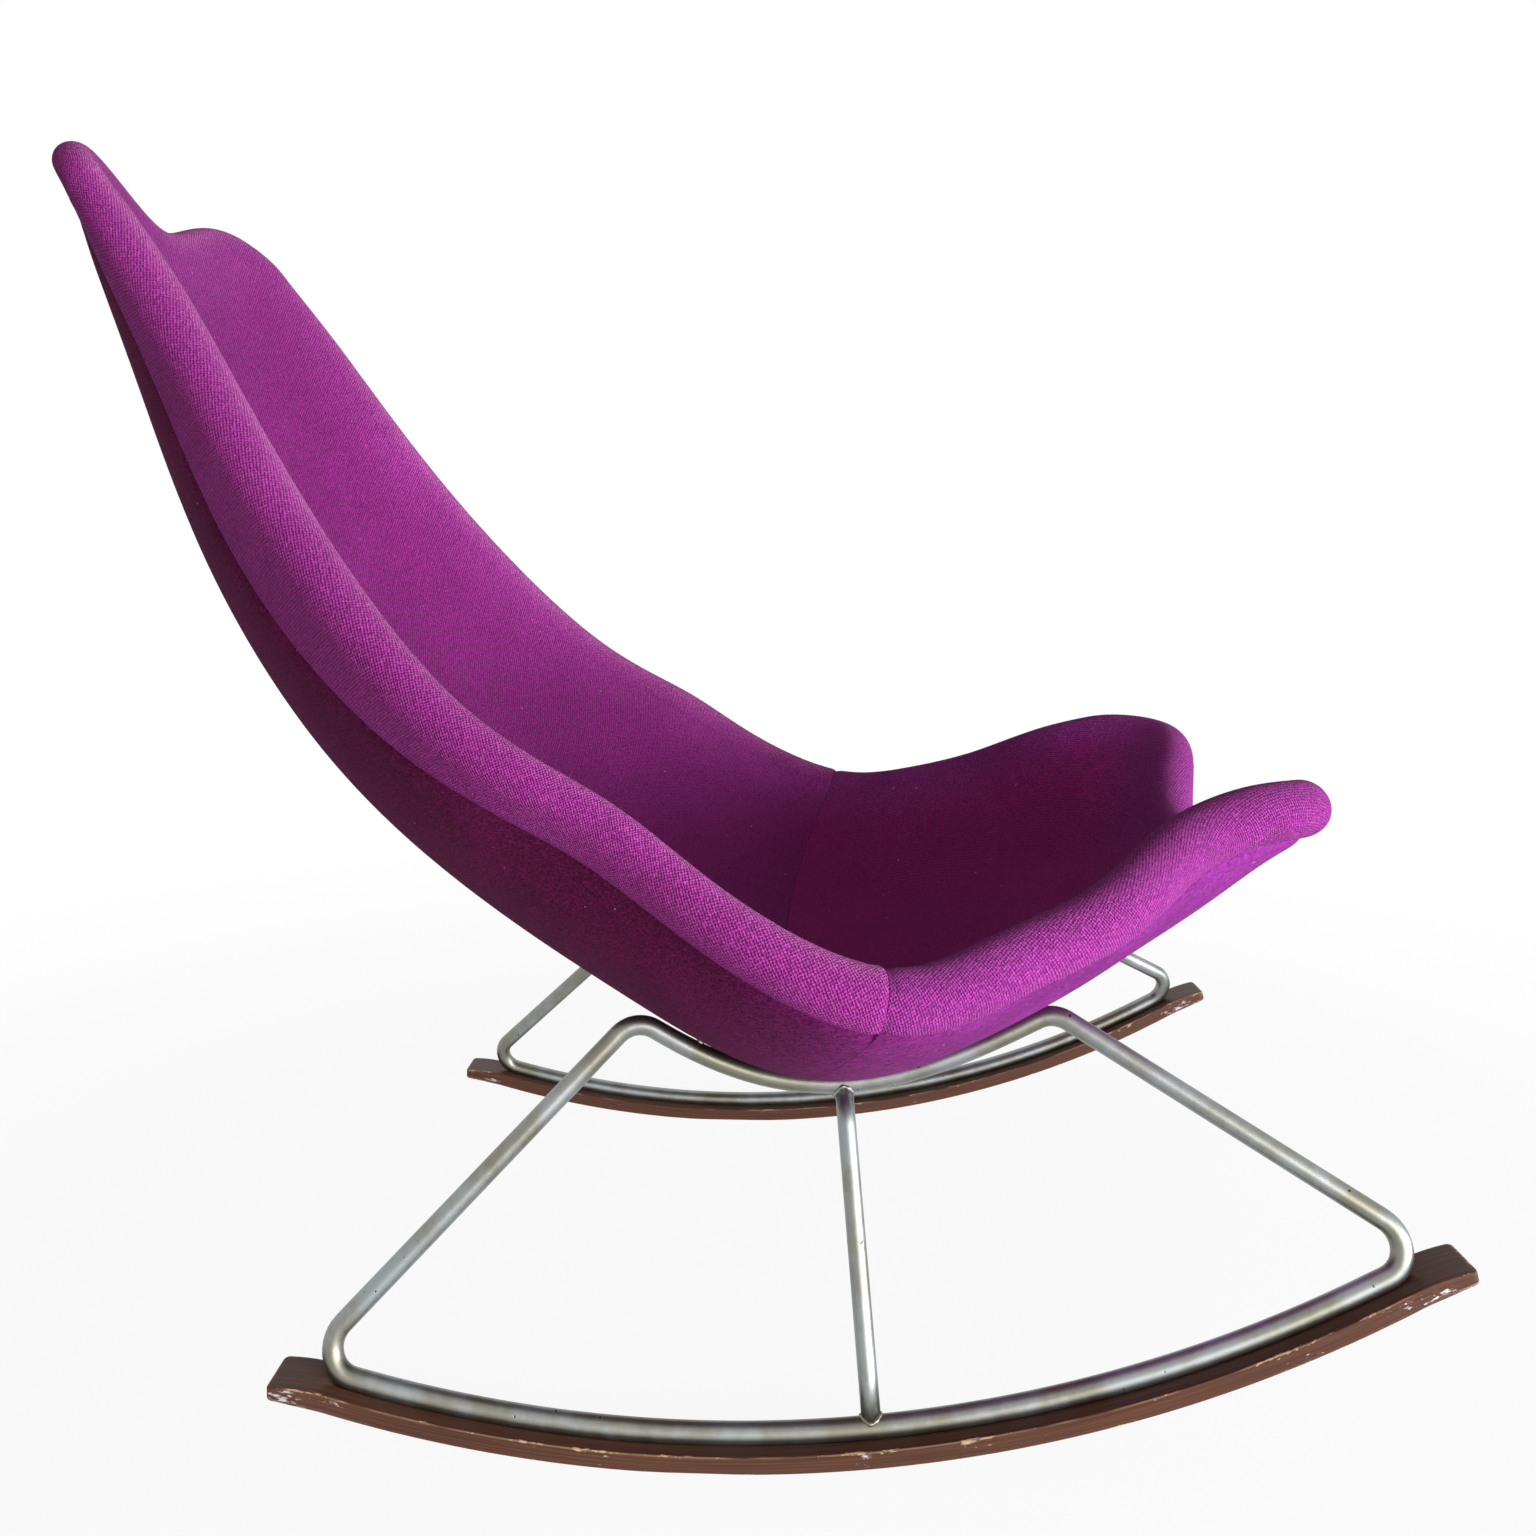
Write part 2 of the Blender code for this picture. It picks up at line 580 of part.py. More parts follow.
def centre_chair():
    """Move the chair so that the middle of its footprint box lies at the origin."""
    bpy.context.view_layer.update()
    graph = bpy.context.evaluated_depsgraph_get()
    low, high = np.full(3, np.inf), np.full(3, -np.inf)
    for piece in bpy.context.scene.objects:
        if piece.type != "MESH" or piece.hide_render:
            continue
        vertices = piece.evaluated_get(graph).data.vertices
        corners = np.array([piece.matrix_world @ vertex.co for vertex in vertices])
        low = np.minimum(low, corners.min(axis=0))
        high = np.maximum(high, corners.max(axis=0))
    CHAIR.location = Vector((-(low[0] + high[0]) / 2, -(low[1] + high[1]) / 2, -low[2]))


for old in list(bpy.data.objects):
    bpy.data.objects.remove(old, do_unlink=True)

CHAIR = bpy.data.objects.new("chair_origin", None)
bpy.context.collection.objects.link(CHAIR)

FINISHES = {
    "fabric": material("purple_wool", (0.22, 0.02, 0.19), 0.95),
    "foam": material("foam", (0.72, 0.62, 0.36), 0.9),
    "ply": material("plywood", (0.58, 0.40, 0.22), 0.6),
    "wadding": material("wadding", (0.78, 0.76, 0.70), 1.0),
    "steel": material("satin_steel", (0.42, 0.42, 0.40), 0.4, 1.0),
    "screw": material("screw_steel", (0.50, 0.50, 0.50), 0.35, 1.0),
    "rocker_wood": material("dark_lacquered_wood", (0.045, 0.016, 0.010), 0.35),
}

BACK_NAMES = {"front_cover": "back_front_cover", "foam": "back_foam", "ply": "back_ply_shell",
              "wadding": "back_rear_wadding", "rear_cover": "back_rear_cover"}
SEAT_NAMES = {"front_cover": "seat_top_cover", "foam": "seat_foam", "ply": "seat_ply_shell",
              "wadding": "seat_under_wadding", "rear_cover": "seat_under_cover"}

BACK = Shell(HIP_STATION, 0, BACK_FACETS, HEAD_DIP, HEAD_CORNER, HEAD_EAR_PLACE)
SEAT = Shell(HIP_STATION, len(SHELL_STATIONS) - 1, SEAT_FACETS, FRONT_DIP, FRONT_CORNER, FRONT_EAR_PLACE)
build_shell_layers(BACK_NAMES, BACK)
build_shell_layers(SEAT_NAMES, SEAT)

for side_name, side_sign in SIDES:
    screw_holes = build_rocker_screws(side_name, side_sign)
    bolt_cutter, insert_cutter = build_shell_bolts(side_name, side_sign)
    build_rocker(side_name, side_sign, screw_holes)
    build_frame(side_name, side_sign, (screw_holes, bolt_cutter))
    for names in (BACK_NAMES, SEAT_NAMES):
        cut(bpy.data.objects[names["rear_cover"]], bolt_cutter)
        cut(bpy.data.objects[names["wadding"]], bolt_cutter)
        cut(bpy.data.objects[names["wadding"]], insert_cutter)
        cut(bpy.data.objects[names["ply"]], insert_cutter)

centre_chair()
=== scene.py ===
# %% [markdown]
# # An upholstered rocking chair
# A tall back shell and a seat shell, both of bent plywood, are padded, covered in purple wool and
# bolted to two bent steel side frames that stand on dark wooden rockers. The loaded frame holds all
# of it as plain solids at their real size and place. This lesson dresses them: it makes the smooth
# pads, bars and rockers that stand for the plain solids, and gives every surface its finish.

import json
import math

import bmesh
import bpy
import numpy as np
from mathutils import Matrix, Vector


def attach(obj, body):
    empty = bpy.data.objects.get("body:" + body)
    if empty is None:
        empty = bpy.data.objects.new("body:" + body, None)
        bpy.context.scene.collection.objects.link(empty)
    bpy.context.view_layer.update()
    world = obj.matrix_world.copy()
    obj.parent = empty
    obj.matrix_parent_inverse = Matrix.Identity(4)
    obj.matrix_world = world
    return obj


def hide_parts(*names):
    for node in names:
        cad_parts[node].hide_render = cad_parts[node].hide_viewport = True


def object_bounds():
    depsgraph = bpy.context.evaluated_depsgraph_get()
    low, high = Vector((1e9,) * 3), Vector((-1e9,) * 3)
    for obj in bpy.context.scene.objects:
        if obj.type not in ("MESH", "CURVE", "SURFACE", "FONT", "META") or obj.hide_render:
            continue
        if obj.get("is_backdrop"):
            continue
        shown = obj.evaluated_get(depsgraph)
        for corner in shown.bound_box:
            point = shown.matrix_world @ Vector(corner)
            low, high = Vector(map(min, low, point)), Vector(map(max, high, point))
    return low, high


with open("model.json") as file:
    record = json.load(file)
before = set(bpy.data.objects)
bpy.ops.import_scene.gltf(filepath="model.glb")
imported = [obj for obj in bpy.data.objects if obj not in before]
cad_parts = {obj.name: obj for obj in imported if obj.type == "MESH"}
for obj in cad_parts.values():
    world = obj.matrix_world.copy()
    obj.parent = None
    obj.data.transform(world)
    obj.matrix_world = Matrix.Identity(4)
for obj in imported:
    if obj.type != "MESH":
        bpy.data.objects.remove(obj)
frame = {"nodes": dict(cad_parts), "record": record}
cad_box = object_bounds()
print("frame:", len(frame["nodes"]), "nodes, from", tuple(cad_box[0]), "to", tuple(cad_box[1]))

# %% [markdown]
# ## Camera
# The picture was taken from the chair's right side, close by and a little above the seat, with a
# wide lens. It was cut out of a larger picture, so the lens axis isn't at the middle of the frame.
# A lens shift moves the frame and leaves the perspective alone, which turning the camera would not.

# %% Camera
IMAGE_SIDE = 1536
AXIS_PIXEL = (732.7, 589.9)
REST_Y = frame["record"]["mounts"][0]["pos_m"][1]
CAMERA_PLACE = (-1.097, REST_Y - 0.0531, 0.5847)
CAMERA_PITCH = math.radians(-1.0)
CAMERA_YAW = math.radians(2.3)
LENS_MM = 30.0
SENSOR_MM = 36.0

lens = bpy.data.cameras.new("camera")
lens.lens = LENS_MM
lens.sensor_width = SENSOR_MM
lens.shift_x = 0.5 - AXIS_PIXEL[0] / IMAGE_SIDE
lens.shift_y = AXIS_PIXEL[1] / IMAGE_SIDE - 0.5
camera = bpy.data.objects.new("camera", lens)
camera.location = CAMERA_PLACE
camera.rotation_euler = (math.pi / 2 + CAMERA_PITCH, 0.0, CAMERA_YAW - math.pi / 2)
bpy.context.scene.collection.objects.link(camera)
bpy.context.scene.camera = camera
bpy.context.scene.view_settings.view_transform = "Standard"
print("camera shift:", round(lens.shift_x, 4), round(lens.shift_y, 4))

# %% [markdown]
# ## Meshes from arrays
# Every piece below is worked out as whole arrays: a grid of points, and the numbers of the four
# corners of each cell. One helper turns arrays into an object, with a UV place for each point where
# a finish follows the surface, and with named values for each point where wear does.

# %% Mesh helpers
def unit(vectors):
    """Vectors divided by their own lengths."""
    return vectors / np.linalg.norm(vectors, axis=-1, keepdims=True)


def quads(number):
    """The four corner numbers of every cell of a grid of vertex numbers."""
    corners = [number[:-1, :-1], number[:-1, 1:], number[1:, 1:], number[1:, :-1]]
    return np.stack(corners, axis=-1).reshape(-1, 4)


def wrapped(number):
    """A grid of vertex numbers with its first column repeated at the end, so that it closes."""
    return np.concatenate([number, number[:, :1]], axis=1)


def new_piece(name, points, faces, uv=None, **values):
    """Object at the origin from points (n, 3) and faces, with a UV place and values for each point."""
    mesh = bpy.data.meshes.new(name)
    mesh.from_pydata(points.tolist(), [], [list(face) for face in faces])
    work = bmesh.new()
    work.from_mesh(mesh)
    bmesh.ops.recalc_face_normals(work, faces=work.faces)
    work.to_mesh(mesh)
    work.free()
    mesh.shade_smooth()
    if uv is not None:
        corner = np.zeros(len(mesh.loops), np.int32)
        mesh.loops.foreach_get("vertex_index", corner)
        mesh.uv_layers.new(name="UVMap").data.foreach_set("uv", uv[corner].astype(np.float32).ravel())
    for key, value in values.items():
        layer = mesh.attributes.new(key, "FLOAT", "POINT")
        layer.data.foreach_set("value", np.asarray(value, np.float32).ravel())
    piece = bpy.data.objects.new(name, mesh)
    bpy.context.scene.collection.objects.link(piece)
    return piece


def dress(piece, finish, slot, *nodes):
    """Finish a piece, let it ride on the chair, and let it stand for the plain nodes."""
    piece.data.materials.append(finish)
    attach(piece, "root")
    if nodes:
        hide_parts(*nodes)
    print(f"{piece.name}: {len(piece.data.vertices)} points")


def subdivide(piece):
    """One live subdivision, the same in the viewport and in the render."""
    modifier = piece.modifiers.new("subdivide", "SUBSURF")
    modifier.levels = 1
    modifier.render_levels = 1


# %% [markdown]
# ## Finishes
# A finish is a small graph of nodes. To keep each one readable, a node is added by one call that
# takes its inputs as a dictionary: an output of another node is linked, anything else is a value.

# %% Node helpers
def node(tree, kind, inputs, output=0, **settings):
    """Adds a shader node and returns one of its outputs."""
    made = tree.nodes.new("ShaderNode" + kind)
    for key, value in settings.items():
        setattr(made, key, value)
    for key, value in inputs.items():
        if isinstance(value, bpy.types.NodeSocket):
            tree.links.new(value, made.inputs[key])
        else:
            made.inputs[key].default_value = value
    return made.outputs[output]


def maths(tree, operation, first, second=0.0):
    """One arithmetic step."""
    return node(tree, "Math", {0: first, 1: second}, operation=operation)


def scaled(tree, value, factor):
    """A value times a factor."""
    return maths(tree, "MULTIPLY", value, factor)


def tally(tree, total, *terms):
    """A total, plus each term's value times its factor."""
    for value, factor in terms:
        total = node(tree, "Math", {0: value, 1: factor, 2: total}, operation="MULTIPLY_ADD")
    return total


def noise(tree, vector, scale, detail=3.0, roughness=0.5):
    """Soft random values round 0.5."""
    inputs = {"Vector": vector, "Scale": scale, "Detail": detail, "Roughness": roughness}
    return node(tree, "TexNoise", inputs)


def between(tree, value, low, high):
    """0 below low, 1 above high, and smooth between them."""
    inputs = {"Value": value, "From Min": low, "From Max": high}
    return node(tree, "MapRange", inputs, interpolation_type="SMOOTHSTEP")


def mixed(tree, share, first, second, blend="MIX"):
    """Two colours mixed by a share."""
    return node(tree, "MixRGB", {"Fac": share, "Color1": first, "Color2": second}, blend_type=blend)


def stretched(tree, vector, scale):
    """A place multiplied along each axis."""
    return node(tree, "Mapping", {"Vector": vector, "Scale": scale})


def streaks(tree, vector, scale, detail=3.0, roughness=0.5):
    """Noise on a place that is multiplied along each axis."""
    return noise(tree, stretched(tree, vector, scale), 1.0, detail, roughness)


def uv_place(tree):
    """The place on the piece's own UV map, in metres."""
    return node(tree, "TexCoord", {}, "UV")


def object_place(tree):
    """The place on the object, in metres."""
    return node(tree, "TexCoord", {}, "Object")


def point_value(tree, name):
    """A value that the mesh holds for each point."""
    return node(tree, "Attribute", {}, "Fac", attribute_name=name)


def bumped(tree, height, distance, strength=1.0):
    """A normal bent by a height, where a height of 1 stands for the distance in metres."""
    return node(tree, "Bump", {"Height": height, "Distance": distance, "Strength": strength})


def new_finish(name, **sockets):
    """Material whose shader has these plain values, its node tree and its shader."""
    made = bpy.data.materials.new(name)
    made.use_nodes = True
    shader = made.node_tree.nodes["Principled BSDF"]
    for key, value in sockets.items():
        shader.inputs[key.replace("_", " ")].default_value = value
    return made, made.node_tree, shader


def feed(tree, shader, **sockets):
    """Links outputs to the shader's inputs."""
    for key, value in sockets.items():
        tree.links.new(value, shader.inputs[key.replace("_", " ")])


# %% [markdown]
# ## Wool
# The cover is a woven wool, thick enough that its crossings show as rows of small slanted knots. A
# picture of cloth could be repeated over it, but two cosine waves along the diagonals of the cloth's
# own UV places already give rows of raised crossings, at the right pitch and free of seams, and the
# stronger wave sets their slant. The gaps between the crossings are darkened: painted shade. Noise
# makes the yarns uneven and scatters pale flecks, partly paler fibres and partly painted highlights on
# the knots. The hollows of the chair get painted shade and the rim painted light, a band along the top
# of the rim is paler, partly rubbed and partly a painted highlight, and sheen stands for the loose fibres.
# Here and there a bit of pale lint sits on the cloth: the surface passes close to a random point.

# %% Wool finish
# A noise is given by its scale, detail and roughness, and a range by where it starts and ends.
YARN_PITCH = 0.0016
SLANT = 0.40
YARN_NOISE, YARN_WANDER = (330.0, 3.0, 0.6), 5.5
HEATHER_NOISE, HEATHER_WEIGHT = (1100.0, 2.0, 0.6), 1.6
TUFT_NOISE, TUFT_WEIGHT = (450.0, 2.0, 0.7), 2.6
WAVE_WEIGHT = 0.85
KNOT_RANGE, KNOT_HEIGHT = (1.25, 2.95), 0.0010
# Pale flecks where the heather noise peaks stand partly for paler fibres and partly for painted highlights on
# the knots.
FLECK_RANGE, FLECK_AND_HIGHLIGHT_SHARE = (0.58, 0.76), 0.22
CLOUD_NOISE, CLOUD_RANGE = (9.0, 2.0), (0.62, 0.40)
# Rim colours are painted light and hollow colours painted shade; the seat's hollow is redder for the warm
# shade in it.
WOOL_RIM_PAINTED_LIGHT = (0.58, 0.062, 0.46, 1.0)
SEAT_RIM_PAINTED_LIGHT = (0.53, 0.060, 0.45, 1.0)
WOOL_HOLLOW_PAINTED_SHADE = (0.455, 0.030, 0.345, 1.0)
SEAT_HOLLOW_PAINTED_SHADE = (0.62, 0.034, 0.38, 1.0)
# The gap colour darkens the gaps between the knots: painted shade.
WOOL_GAP_PAINTED_SHADE = (0.30, 0.20, 0.32, 1.0)
WOOL_TINT = (1.0, 0.52, 0.88, 1.0)
# A paler band along the rim, with a share for the back and one for the seat: partly rubbed, partly a painted
# highlight.
WOOL_RUB_AND_HIGHLIGHT = (1.0, 0.27, 0.76, 1.0)
WOOL_CLOUD = (0.90, 0.86, 0.90, 1.0)
BACK_RUB_AND_HIGHLIGHT, SEAT_RUB_AND_HIGHLIGHT = 0.75, 0.12
LINT = (0.80, 0.66, 0.78, 1.0)
LINT_SIZE, LINT_RANGE = (0.070, 0.018, 0.018), (0.035, 0.020)
LINT_SLANT = (0.4, math.radians(-50), math.radians(-75))


def laid(tree, spot, slant, size):
    """A place turned by a slant and then counted in lengths of a size."""
    inputs = {"Vector": spot, "Rotation": slant, "Scale": size}
    return node(tree, "Mapping", inputs, vector_type="TEXTURE")


def with_lint(tree, spot, colour):
    """A colour with bits of lint: where the stretched distance to a scattered point is tiny."""
    scattered = laid(tree, spot, LINT_SLANT, LINT_SIZE)
    gap = node(tree, "TexVoronoi", {"Vector": scattered, "Scale": 1.0}, "Distance")
    return mixed(tree, between(tree, gap, *LINT_RANGE), colour, LINT)


def weave(tree, spot, heather):
    """Height of the cloth from 0 to 1: a wave along each of its diagonals, and loose fibres."""
    cloth = stretched(tree, uv_place(tree), (math.pi / YARN_PITCH,) * 3)
    warp = node(tree, "SeparateXYZ", {"Vector": cloth}, "X")
    weft = warp.node.outputs["Y"]
    wander = scaled(tree, noise(tree, spot, *YARN_NOISE), YARN_WANDER)
    falling = maths(tree, "COSINE", tally(tree, wander, (warp, 1.0), (weft, -1.0)))
    rising = maths(tree, "COSINE", tally(tree, warp, (weft, 1.0), (wander, -1.0)))
    wave = tally(tree, 0.0, (falling, SLANT), (rising, SLANT - 1.0))
    tufts = noise(tree, spot, *TUFT_NOISE)
    loose = tally(tree, 0.0, (heather, HEATHER_WEIGHT), (tufts, TUFT_WEIGHT))
    return between(tree, tally(tree, loose, (wave, WAVE_WEIGHT)), *KNOT_RANGE)


def wool_finish(name, hollow, rim, rubbed):
    """Woven wool: raised slanted crossings, uneven yarn, painted shade in gaps and hollows, painted light on
    the rim.
    """
    made, tree, shader = new_finish(name, Roughness=0.9, Specular_IOR_Level=0.1, Sheen_Weight=0.10,
                                    Sheen_Roughness=0.35, Sheen_Tint=WOOL_TINT)
    spot = object_place(tree)
    heather = noise(tree, spot, *HEATHER_NOISE)
    knot = weave(tree, spot, heather)
    # The mesh's share runs from the hollow, in painted shade, to the rim, in painted light.
    colour = mixed(tree, point_value(tree, "crest"), hollow, rim)
    # A band along the rim is made paler: partly rubbed, partly a painted highlight.
    colour = mixed(tree, scaled(tree, point_value(tree, "ridge"), rubbed), colour, WOOL_RUB_AND_HIGHLIGHT)
    # Between the knots the colour is darkened: painted shade in the weave.
    colour = mixed(tree, knot, mixed(tree, 1.0, colour, WOOL_GAP_PAINTED_SHADE, "MULTIPLY"), colour)
    # Pale flecks: partly paler fibres, partly painted highlights on the knots.
    fleck_and_highlight = scaled(tree, between(tree, heather, *FLECK_RANGE), FLECK_AND_HIGHLIGHT_SHARE)
    colour = mixed(tree, fleck_and_highlight, colour, WOOL_TINT)
    cloud = between(tree, noise(tree, spot, *CLOUD_NOISE), *CLOUD_RANGE)
    colour = with_lint(tree, spot, mixed(tree, cloud, colour, WOOL_CLOUD, "MULTIPLY"))
    feed(tree, shader, Base_Color=colour, Normal=bumped(tree, knot, KNOT_HEIGHT))
    return made


back_wool = wool_finish("back_wool", WOOL_HOLLOW_PAINTED_SHADE, WOOL_RIM_PAINTED_LIGHT, BACK_RUB_AND_HIGHLIGHT)
seat_wool = wool_finish("seat_wool", SEAT_HOLLOW_PAINTED_SHADE, SEAT_RIM_PAINTED_LIGHT, SEAT_RUB_AND_HIGHLIGHT)
print("wool:", len(back_wool.node_tree.nodes), "nodes")

# %% [markdown]
# ## Felted wool
# The panels behind the back and below the seat are the same dye on a felted cloth: no weave shows,
# only short fibres that lie in every direction. Two fine noises, each stretched along its own slant,
# give strokes that cross, and they move both the colour and the height. Behind the back the felt's
# colours are darker, which is painted shade, and towards the front they turn lighter and bluer,
# which is painted light.

# %% Felt finish
# Two pairs of felt colours: the back's pair is darker, painted shade, and the seat's pair is lighter and
# bluer, painted light.
BACK_FELT_PAINTED_SHADE = (0.046, 0.002, 0.019, 1.0), (0.28, 0.015, 0.15, 1.0)
SEAT_FELT_PAINTED_LIGHT = (0.140, 0.011, 0.125, 1.0), (0.39, 0.046, 0.40, 1.0)
PAINTED_LIGHT_PLACES = 0.02, -0.25
FIBRE_NOISE, FIBRE_HEIGHT = (1.0, 3.0, 0.6), 0.0007
FIBRE_SIZE = (0.0100, 0.0015, 0.0015)
FIBRE_SLANTS = (
    (0.0, math.radians(-50), math.radians(-60)),
    (0.0, math.radians(-20), math.radians(-110)),
)
FELT_CLOUD, FELT_CLOUD_WEIGHT = (14.0, 2.0), 0.16
FELT_RANGE = (0.48, 0.88)


def felt_finish(name):
    """Felted wool: stretched fibres, faint clouds, painted shade at the back, painted light in front, and
    lint.
    """
    made, tree, shader = new_finish(name, Roughness=0.95, Specular_IOR_Level=0.1, Sheen_Weight=0.03,
                                    Sheen_Roughness=0.4, Sheen_Tint=WOOL_TINT)
    spot = object_place(tree)
    strokes = [noise(tree, laid(tree, spot, slant, FIBRE_SIZE), *FIBRE_NOISE) for slant in FIBRE_SLANTS]
    fibre = maths(tree, "MAXIMUM", *strokes)
    cloud = noise(tree, spot, *FELT_CLOUD)
    share = between(tree, tally(tree, fibre, (cloud, FELT_CLOUD_WEIGHT)), *FELT_RANGE)
    behind = node(tree, "SeparateXYZ", {"Vector": spot}, "Y")
    # Towards the front the felt turns to the seat's pair: painted light.
    front_light_share = between(tree, behind, *PAINTED_LIGHT_PLACES)
    colour = mixed(tree, front_light_share, mixed(tree, share, *BACK_FELT_PAINTED_SHADE), mixed(tree, share, *SEAT_FELT_PAINTED_LIGHT))
    colour = with_lint(tree, spot, colour)
    feed(tree, shader, Base_Color=colour, Normal=bumped(tree, fibre, FIBRE_HEIGHT))
    return made


felt = felt_finish("felted_wool")
print("felt:", len(felt.node_tree.nodes), "nodes")

# %% [markdown]
# ## Satin steel
# The bars are plain steel with a dull silver skin: soft, long highlights, a slightly yellow tone
# where the skin is thin, and a few dark pits. Metal takes its look from what it mirrors, so its own
# nodes only have to vary the tone and the roughness.

# %% Steel finish
STEEL_PALE = (0.31, 0.335, 0.345, 1.0)
STEEL_WARM = (0.23, 0.223, 0.178, 1.0)
STEEL_PIT = (0.05, 0.04, 0.035, 1.0)
STEEL_CLOUD, STEEL_CLOUD_RANGE = (25.0, 4.0, 0.6), (0.35, 0.65)
STEEL_ROUGHNESS, CLOUD_ROUGHNESS = 0.34, 0.16
SCRATCH_NOISE, SCRATCH_DEPTH = (900.0, 2.0), 0.3
PIT_NOISE, PIT_RANGE = (190.0, 1.0), (0.76, 0.79)
STEEL_HEIGHT, STEEL_BUMP = 0.0003, 0.5


def steel_finish(name):
    """Satin metal: clouded tone, fine scratches, and pits where a fine noise peaks."""
    made, tree, shader = new_finish(name, Metallic=1.0)
    spot = object_place(tree)
    cloud = noise(tree, spot, *STEEL_CLOUD)
    pit = between(tree, noise(tree, spot, *PIT_NOISE), *PIT_RANGE)
    tone = mixed(tree, between(tree, cloud, *STEEL_CLOUD_RANGE), STEEL_WARM, STEEL_PALE)
    rough = tally(tree, STEEL_ROUGHNESS, (cloud, CLOUD_ROUGHNESS))
    height = tally(tree, 0.0, (noise(tree, spot, *SCRATCH_NOISE), SCRATCH_DEPTH), (pit, -1.0))
    feed(tree, shader, Base_Color=mixed(tree, pit, tone, STEEL_PIT), Roughness=rough,
         Normal=bumped(tree, height, STEEL_HEIGHT, STEEL_BUMP))
    return made


satin_steel = steel_finish("satin_steel")
print("steel:", len(satin_steel.node_tree.nodes), "nodes")

# %% [markdown]
# ## Lacquered wood, worn at its edges
# The rockers are stained dark brown and lacquered. Their edges are chipped to the pale wood and
# their sides are scuffed white. The mesh says how near each point is to an edge and to a tip, and
# noise decides where along the edge the lacquer has gone, which keeps the wear off the flat faces.

# %% Rocker wood finish
WOOD_DARK = (0.068, 0.026, 0.0145, 1.0)
WOOD_BROWN = (0.142, 0.058, 0.032, 1.0)
WOOD_BARE = (0.62, 0.40, 0.22, 1.0)
WOOD_SCUFF = (0.74, 0.70, 0.72, 1.0)
GRAIN, GRAIN_RANGE, GRAIN_DEPTH = ((9.0, 900.0, 1.0), 4.0, 0.6), (0.35, 0.70), 0.25
FIGURE, FIGURE_SHARE = ((4.0, 160.0, 1.0), 3.0), 0.45
PATCHES, PATCH_WEIGHT = ((24.0, 90.0, 1.0), 1.0), 0.5
CHIPS, CHIP_WEIGHT = ((130.0, 420.0, 1.0), 4.0, 0.65), 0.7
CHIPS_AT_TIP, CHIPS_AT_EDGE = 0.06, 0.14
CHIP_RANGE, CHIP_EDGE = (0.80, 0.84), (0.15, 0.5)
SCUFFS, SCUFF_WEIGHT = ((100.0, 300.0, 1.0), 4.0, 0.7), 0.62
SCUFFS_AT_TIP, SCUFF_RANGE, SCUFF_SHARE = 0.12, (0.70, 0.76), 0.85
RUBBED_EDGE, RUBBED_PATCHES, RUBBED_SHARE = (0.75, 0.95), (0.40, 0.55), 0.32
LACQUER_ROUGHNESS, WORN_ROUGHNESS = 0.42, 0.30
WOOD_HEIGHT = 0.0004


def rocker_wear_shares(tree, strip):
    """Shares of bare chips along the edges, of scuffs on the sides, and of rubbed edges."""
    edge, tip = point_value(tree, "edge"), point_value(tree, "tip")
    patches = streaks(tree, strip, *PATCHES)
    chips = tally(tree, 0.0, (streaks(tree, strip, *CHIPS), CHIP_WEIGHT), (patches, PATCH_WEIGHT),
                  (tip, CHIPS_AT_TIP), (edge, CHIPS_AT_EDGE))
    bare = scaled(tree, between(tree, chips, *CHIP_RANGE), between(tree, edge, *CHIP_EDGE))
    worn = tally(tree, 0.0, (streaks(tree, strip, *SCUFFS), SCUFF_WEIGHT), (patches, PATCH_WEIGHT),
                 (tip, SCUFFS_AT_TIP))
    scuff = scaled(tree, between(tree, worn, *SCUFF_RANGE), point_value(tree, "wall"))
    rubbed = scaled(tree, between(tree, edge, *RUBBED_EDGE), between(tree, patches, *RUBBED_PATCHES))
    return bare, scuff, rubbed


def rocker_finish(name):
    """Dark lacquer on long grain, with bare wood along the edges and pale scuffs on the sides."""
    made, tree, shader = new_finish(name, Specular_IOR_Level=0.25)
    strip = uv_place(tree)
    grain = streaks(tree, strip, *GRAIN)
    bare, scuff, rubbed = rocker_wear_shares(tree, strip)
    colour = mixed(tree, between(tree, grain, *GRAIN_RANGE), WOOD_DARK, WOOD_BROWN)
    colour = mixed(tree, scaled(tree, streaks(tree, strip, *FIGURE), FIGURE_SHARE), colour, WOOD_DARK)
    colour = mixed(tree, scaled(tree, scuff, SCUFF_SHARE), colour, WOOD_SCUFF)
    colour = mixed(tree, scaled(tree, rubbed, RUBBED_SHARE), colour, WOOD_BARE)
    colour = mixed(tree, bare, colour, WOOD_BARE)
    rough = tally(tree, LACQUER_ROUGHNESS, (maths(tree, "MAXIMUM", bare, scuff), WORN_ROUGHNESS))
    height = tally(tree, 0.0, (grain, GRAIN_DEPTH), (bare, -1.0))
    feed(tree, shader, Base_Color=colour, Roughness=rough, Normal=bumped(tree, height, WOOD_HEIGHT))
    return made


rocker_wood = rocker_finish("rocker_wood")
print("rocker wood:", len(rocker_wood.node_tree.nodes), "nodes")

# %% [markdown]
# ## Plywood
# The shells inside the pads are never seen unless the chair is taken apart, but a part that is taken
# apart should look right too: pale veneer with long grain, worked out on object places.

# %% Plywood finish
PLY_DARK = (0.42, 0.26, 0.13, 1.0)
PLY_PALE = (0.66, 0.48, 0.28, 1.0)
PLY_GRAIN, PLY_RANGE, PLY_HEIGHT = ((120.0, 6.0, 6.0), 5.0, 0.6), (0.3, 0.7), 0.0003


